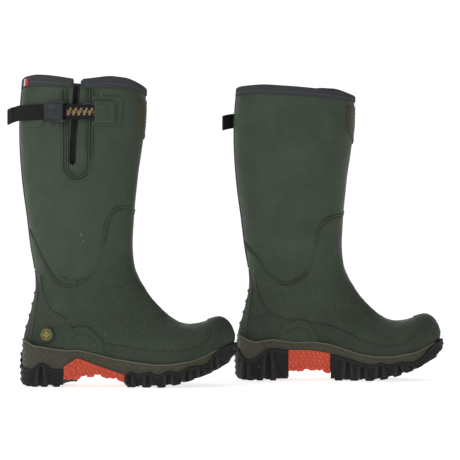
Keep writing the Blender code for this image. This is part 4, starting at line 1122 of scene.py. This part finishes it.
# ---------------------------------------------------------------- the sole
def plan_loop(step=0.8):
    """The sole's plan as one closed run from the toe down the lateral side.

    Gives each point's x and y, its outward direction, its side (0 lateral, 1 medial), its place along the
    outline and the length up to it.
    """
    runs = []
    for side, places in ((0, np.arange(16, -1e-6, -0.05)), (1, np.arange(0, 16 + 1e-6, 0.05))):
        places = np.clip(places, 0, 16)
        xy = between(OUTLINE, places)[:, 2 * side : 2 * side + 2]
        runs.append(np.column_stack([xy, np.full(len(xy), side), places]))
    loop = np.vstack(runs + [runs[0][:1]])
    length = run_length(loop[:, :2])
    where = np.arange(0, length[-1], step)
    xy = at_lengths(loop, length, where)
    nearest = np.searchsorted(length, where).clip(0, len(loop) - 1)
    kernel = np.ones(7) / 7
    xy = np.stack([np.convolve(np.concatenate([c[-3:], c, c[:3]]), kernel, "valid") for c in xy.T], -1)
    ahead = np.roll(xy, -1, 0) - np.roll(xy, 1, 0)
    ahead /= np.linalg.norm(ahead, axis=1, keepdims=True)
    out = np.stack([-ahead[:, 1], ahead[:, 0]], -1)
    inside = np.array((140.0, 0.0))
    out *= np.sign(((xy - inside) * out).sum(1).mean())
    return xy, out, loop[nearest, 2], loop[nearest, 3], where


PLAN = plan_loop()


def plan_part(lateral, medial, through_heel):
    """The stretch of the plan between a place on each side, by way of the heel or the toe."""
    xy, out, side, place, where = PLAN
    if through_heel:
        pick = np.where(side == 0, place <= lateral, place <= medial)
        return tuple(a[pick] for a in (xy, out, where))
    pick = np.where(side == 0, place >= lateral, place >= medial)
    turn = -int(np.argmax(~pick))
    pick = np.roll(pick, turn)
    return tuple(np.roll(a, turn, 0)[pick] for a in (xy, out, where))


def side_height(tables, x, y, reach):
    """A height from the lateral and the medial table, blended where the two sides meet."""
    share = np.clip((y + 9.0) / 18.0, 0, 1)
    share = share * share * (3 - 2 * share)
    return (1 - share) * soft_level(tables[0], x, reach) + share * soft_level(tables[1], x, reach)


def wall(shape, part, low, tops, reach, face, relief):
    """A strip of the sole's side. Face's rows: inset, share of the height, rise, share of relief, tone. The
    tone is painted light, and it rises with the relief: painted highlight on what stands out, painted shade
    in the hollows.
    """
    xy, out, where = part
    low_z, top_z = low(xy[:, 0]), side_height(tops, *xy.T, reach)
    rings, tones = [], []
    for inset, share, rise, take, light in face:
        z = low_z + (top_z - low_z) * share + rise
        push = take * relief(where, z, xy, top_z)
        rings.append(np.column_stack([xy - out * (inset - push)[:, None], z]))
        # Painted light: pale where the relief stands out, dark where it sinks.
        tones.append(light + 0.4 * push)
    shape.grid(np.array(rings).transpose(1, 0, 2), round_columns=True, caps=True, tones=np.array(tones).T)


def slab(shape, lateral, medial, low, high, steps=40):
    """The plate under the sole between two places along the outline."""
    across, inset = 10, 1.2
    lat = between(OUTLINE, np.linspace(*lateral, steps))[:, :2]
    med = between(OUTLINE, np.linspace(*medial, steps))[:, 2:]
    share = np.linspace(0, 1, across + 1)
    plan = lat[:, None] + (med - lat)[:, None] * share[None, :, None]
    plan[:, 0, 1] += inset
    plan[:, -1, 1] -= inset
    closed_sheet(shape, *(np.dstack([plan, level(plan[..., 0])]) for level in (low, high)))


def lug_face(x):
    """The height of the lugs' feet; the three below are their roots, the wall's foot and the slab's top."""
    return soft_level(LUG_FACE, x, 2.0)


def lug_root(x):
    return lug_face(x) + LUG_DEPTH


def wall_foot(x):
    return lug_face(x) + 2.8


def slab_top(x):
    return soft_level(SLAB_TOP, x, 3.0)


# Where a wave of the outsole's edge has its slot, along X on the lateral and on the medial side.
SLOTS = ([32, 157, 183, 212, 238, 258, 276], [15, 49, 166, 187, 213, 241, 258])
# The face of a wave, from its slot outwards: (distance, how far it stands out).
WAVE_FACE = [(0, -1.5), (1.0, -1.3), (2.4, 1.3), (4.0, 1.6), (6.2, 0.2), (8.5, -0.6), (11.5, 0.1), (15, 0.3)]


def waves(where, z, xy, top_z):
    """Each wave has a rounded lip, and a slot between two ribs that fan out towards the ground."""
    below = np.clip(top_z - z, 0, None)
    away = np.full(len(where), 99.0)
    for turn, places in zip((-1, 1), SLOTS):
        for x in places:
            miss = np.abs(xy[:, 0] - x) + 1000.0 * (xy[:, 1] * turn < 0)
            if miss.min() < 3:
                away = np.minimum(away, np.abs(where - where[miss.argmin()]))
    face = soft_level(WAVE_FACE, away / (1 + 0.03 * below), 0.5) * np.clip((below - 3.0) / 3.5, 0, 1)
    ends = np.clip((9.0 - xy[:, 0]) / 6.0, 0, 1) + np.clip((xy[:, 0] - 299.0) / 5.0, 0, 1)
    knobs = 1.5 * np.abs(np.cos(math.pi * z / 9.0)) ** 3 * ends * (below > 2)
    return face * (1 - np.clip(ends, 0, 1)) + knobs + 0.9 * np.exp(-(((below - 1.9) / 1.3) ** 2))


def lug(shape, middle, outline, root, face, bevel):
    """One lug, down from 1 mm inside its root. The outline is round its middle, in plan."""
    rim = np.array([(*(middle + place), 0.0) for place in outline])
    rim[:, 2] = root(rim[:, 0]) + 1.0
    block(shape, rim, (0, 0, -1.0), 0.0, float(rim[:, 2].mean() - face(middle[0])), bevel, taper=0.06)


def edge_lugs(shape, places, width, reach, root, face):
    """Lugs along the sole's edge: each stands inside the outline at one place along a side."""
    for side, u in places:
        near = np.array([u, min(u + 0.06, 16.0), max(u - 0.06, 0.0)])
        here, ahead, behind = between(OUTLINE, near)[:, 2 * side : 2 * side + 2]
        run = (ahead - behind) / np.linalg.norm(ahead - behind)
        inward = np.array((-run[1], run[0])) * (1 if side == 0 else -1)
        half = width / 2
        corners = [(-half, -0.2), (half, -0.2), (half - 1.5, reach), (1.5 - half, reach)]
        lug(shape, here, [run * a + inward * b for a, b in rounded(corners, 2.6, 4)], root, face, 1.7)


def inner_lugs(shape, start, end, rows, cells, size):
    """Rows of lugs across the underside, staggered from row to row."""
    corners = [(-size, -size * 0.75), (size * 0.6, -size), (size, size * 0.75), (-size * 0.6, size)]
    for i in range(rows):
        lat, med = between(OUTLINE, np.array([start + (end - start) * (i + 0.5) / rows]))[0].reshape(2, 2)
        for j in range(cells - i % 2):
            share = 0.24 + 0.52 * (j + 0.5 + 0.5 * (i % 2)) / cells
            lug(shape, lat + (med - lat) * share, rounded(corners, 1.5, 3), lug_root, lug_face, 0.8)


# The tone column is painted light: painted shade where the wall turns under at its foot, and a painted
# highlight along its rounded top edge.
WALL_FACE = [  # inset, share of the height, rise, relief, tone
    (3.6, 0.0, 1.4, 0.0, -0.3), (2.2, 0.0, 0.2, 0.0, -0.2), (1.0, 0.0, 0.1, 0.4, 0.0),
    (0.3, 0.0, 0.9, 0.8, 0.1),
    *[(0.0, share, 0.9 * (1 - share), 1.0, 0.0) for share in np.linspace(0.1, 0.8, 11)],
    (0.0, 1.0, -3.0, 1.0, 0.0), (0.05, 1.0, -2.2, 1.0, 0.05), (0.1, 1.0, -1.4, 0.9, 0.1),
    (0.3, 1.0, -0.7, 0.6, 0.15), (0.8, 1.0, -0.15, 0.2, 0.2), (1.5, 1.0, 0.0, 0.0, 0.1),
    (2.1, 1.0, -0.5, 0.0, 0.0), (2.3, 1.0, -1.2, 0.0, 0.0), (2.3, 0.3, 0, 0.0, 0.0),
]


def on_both(lateral, medial):
    """(side, place) of lugs along the lateral and the medial edge."""
    return [(0, u) for u in lateral] + [(1, u) for u in medial]


def outsole():
    """The black heel and forefoot, with their waves and lugs."""
    shape = Shape()
    wall(shape, plan_part(*HEEL_CUT, True), wall_foot, HEEL_WAVE, 4.0, WALL_FACE, waves)
    slab(shape, (0.02, HEEL_CUT[0]), (0.02, HEEL_CUT[1]), lug_root, slab_top)
    places = (0.55, 1.45, 2.25, 3.0, 3.75)
    edge_lugs(shape, on_both(places, places), 11.0, 12.0, lug_root, lug_face)
    inner_lugs(shape, 0.9, 3.9, 4, 3, 5.0)
    cover("heel_outsole", shape, "black_rubber", sharp=45)

    shape = Shape()
    wall(shape, plan_part(*FORE_CUT, False), wall_foot, FORE_WAVE, 3.5, WALL_FACE, waves)
    slab(shape, (FORE_CUT[0], 15.98), (FORE_CUT[1], 15.98), lug_root, slab_top, steps=60)
    places = on_both((7.95, 8.85, 9.75, 10.65, 11.5, 12.3, 13.1, 13.9, 14.8),
                     (7.6, 8.5, 9.45, 10.35, 11.2, 12.05, 12.9, 13.8, 14.8))
    edge_lugs(shape, places, 13.5, 13.0, lug_root, lug_face)
    inner_lugs(shape, 7.8, 14.6, 9, 5, 6.2)
    cover("forefoot_outsole", shape, "black_rubber", sharp=45)


def arch_low(x):
    """The height of the arch insert's lower face."""
    return soft_level(ARCH_FACE, x, 2.0)


def bumps(where, z, xy, top_z):
    """The arch insert's rows of soft bumps."""
    row_height, pitch = 5.2, 7.4
    below = top_z - z
    rows = np.floor(below / row_height)
    run = where / pitch + 0.5 * (rows % 2) + 0.13 * np.sin(2.4 * rows + where / 9.0)
    bump = np.cos(2 * math.pi * run) * np.sin(math.pi * (below / row_height % 1))
    # The wall also turns this relief into a painted highlight on the bumps and painted shade between them.
    return 1.5 * np.clip(bump - 0.15, 0, 1) ** 0.6 - 0.3


def arch_insert():
    """The red insert under the arch."""
    gap = 0.02
    xy, out, side, place, where = PLAN
    bumpy = [(0.2, share, 0, 1.0, 0.0) for share in np.linspace(0.06, 0.9, 30)]
    face = [*WALL_FACE[:3], *bumpy, *WALL_FACE[-5:]]
    shape = Shape()
    for which in (0, 1):
        pick = (side == which) & (place > HEEL_CUT[which] + gap) & (place < FORE_CUT[which] - gap)
        wall(shape, (xy[pick], out[pick], where[pick]), arch_low, ARCH_WAVE, 3.0, face, bumps)
    slab(shape, *((HEEL_CUT[k] + gap, FORE_CUT[k] - gap) for k in (0, 1)), arch_low, slab_top)
    places = on_both((4.5, 5.2, 6.0, 6.7, 7.25), (5.15, 5.75, 6.35, 6.85))
    edge_lugs(shape, places, 11.5, 7.0, arch_low, lambda x: arch_low(x) - 2.6)
    places = on_both((4.85, 5.6, 6.35), (5.45, 6.05))
    edge_lugs(shape, places, 12.0, 15.0, arch_low, lambda x: arch_low(x) - 5.2)
    cover("arch_insert", shape, "red_rubber", sharp=45)


def midsole():
    """The olive wall between the outsole and the foot, with a rounded lip along its top that carries a
    painted highlight, and painted shade just under it.
    """
    under = (12.0, 0.0, 0, 0, 0.0)
    side = np.array([
        (2.8, 0.0, 0, 0, 0), (2.75, 0.2, 0, 0, 0), (2.7, 0.4, 0, 1, 0), (2.6, 0.6, 0, 1, 0),
        (2.5, 0.75, 0, 1, 0), (2.45, 1.0, -3.4, 0.6, -0.1),
    ])
    # The lip's tones are painted light: shade painted just under it, a highlight painted along its rounded
    # edge.
    lip = [(2.4, 1.0, -2.6, 0.2, -0.25), (1.8, 1.0, -2.1, 0, 0.3), (1.45, 1.0, -1.5, 0, 0.7),
           (1.4, 1.0, -0.9, 0, 0.9), (1.8, 1.0, -0.3, 0, 0.9), (2.6, 1.0, -0.05, 0, 0.5),
           (4.0, 1.0, -0.2, 0, 0.3)]
    inside = [(12.0, 1.0, -2.5, 0, 0.0), (19.0, 1.0, -6.0, 0, 0.0), (19.0, 0.0, 0.0, 0, 0.0)]
    fine = [a + (b - a) * t for a, b in zip(side, side[1:]) for t in np.linspace(0, 1, 6)[:-1]]

    def relief(where, z, xy, top_z):
        heel = np.clip((12.0 - xy[:, 0]) / 8.0, 0, 1)
        ribs = sum(np.exp(-(((z - h) / 1.7) ** 2)) for h in (32.0, 40.5, 49.0, 57.5))
        return heel * 1.8 * ribs + 0.2 * np.sin(where / 2.1) * np.sin(z / 1.9)

    shape = Shape()
    face = [under, *fine, side[-1], *lip, *inside]
    wall(shape, plan_part(14.6, 14.6, True), lambda x: slab_top(x) + 0.4, WRAP_TOP, 3.0, face, relief)
    cover("midsole", shape, "olive_rubber", sharp=60)


# ---------------------------------------------------------------- the studio
HIDDEN_LOOKS = {
    "foam_core": "foam", "shank": "steel",
    "insole_board": "board", "heel_stiffener": "board", "toe_puff": "board",
}


def dress_cad():
    """Materials for the CAD nodes that are shown as they are, inside the boots."""
    for side in SIDES:
        for name, look in HIDDEN_LOOKS.items():
            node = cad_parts[f"{side}_{name}"]
            node.data.materials.clear()
            node.data.materials.append(made_materials[look])


def backdrop():
    """A white floor that bends up into a wall behind the boots."""
    floor = bpy.data.meshes.new("studio_floor")
    shaped = bmesh.new()
    half, depth, rise, bend = 6.0, 3.2, 4.0, 1.2
    foot = depth - bend
    corner = [(foot + bend * math.sin(t), bend - bend * math.cos(t)) for t in np.linspace(0, math.pi / 2, 16)]
    profile = [(-half, 0.0), *corner, (depth, rise)]
    rows = [[shaped.verts.new((x, y, z - 0.0004)) for x in (-half, half)] for y, z in profile]
    for a, b in zip(rows, rows[1:]):
        shaped.faces.new((a[0], a[1], b[1], b[0]))
    shaped.to_mesh(floor)
    shaped.free()
    floor.shade_smooth()
    floor.materials.append(made_materials["floor"])
    made = bpy.data.objects.new("studio_floor", floor)
    bpy.context.scene.collection.objects.link(made)


def aimed(place, target):
    """The turn that points a light or a camera at a place to another."""
    return (Vector(target) - Vector(place)).to_track_quat("-Z", "Y").to_euler()


def lights():
    """Soft light from the left, a bright top and a pale surround."""
    world = bpy.data.worlds.new("studio")
    world.use_nodes = True
    background = world.node_tree.nodes["Background"]
    background.inputs["Color"].default_value = (1.0, 1.0, 1.0, 1.0)
    background.inputs["Strength"].default_value = 0.19
    bpy.context.scene.world = world
    for name, place, height, size, power in (
        ("key", (-1.7, -2.0, 1.9), 0.25, (1.2, 1.4), 33),
        ("fill", (1.9, -1.8, 0.9), 0.2, (1.0, 1.6), 2),
        ("top", (-0.2, 0.3, 2.6), 0.2, (2.2, 1.2), 11),
        ("back", (0.6, 2.0, 1.6), 0.2, (2.6, 1.4), 2.5),
    ):
        data = bpy.data.lights.new(name, "AREA")
        data.shape, data.size, data.size_y = "RECTANGLE", *size
        data.energy = power
        light = bpy.data.objects.new(name, data)
        light.location = place
        light.rotation_euler = aimed(place, (0, 0, height))
        bpy.context.scene.collection.objects.link(light)


def camera():
    """A long lens, square to the boots' sides."""
    distance, height, aim, seen_width, sensor = 3.3, 0.20, 0.222, 0.672, 36.0
    data = bpy.data.cameras.new("camera")
    data.sensor_width = sensor
    data.lens = sensor * distance / seen_width
    data.clip_end = 50.0
    made = bpy.data.objects.new("camera", data)
    made.location = (0.0, -distance, height)
    made.rotation_euler = aimed(made.location, (0, 0, aim))
    bpy.context.scene.collection.objects.link(made)
    bpy.context.scene.camera = made
    bpy.context.scene.view_settings.view_transform = "Standard"


make_materials()
upper_skin()
moulded_lines()
slit_band()
back_stay()
heel_spur()
foxing()
leg_patches()
front_badge()
ankle_badge()
rim_binding()
rim_stitches()
side_label()
gusset()
lining()
footbed()
strap()
loose_thread()
buckle()
midsole()
outsole()
arch_insert()
dress_cad()
backdrop()
lights()
camera()
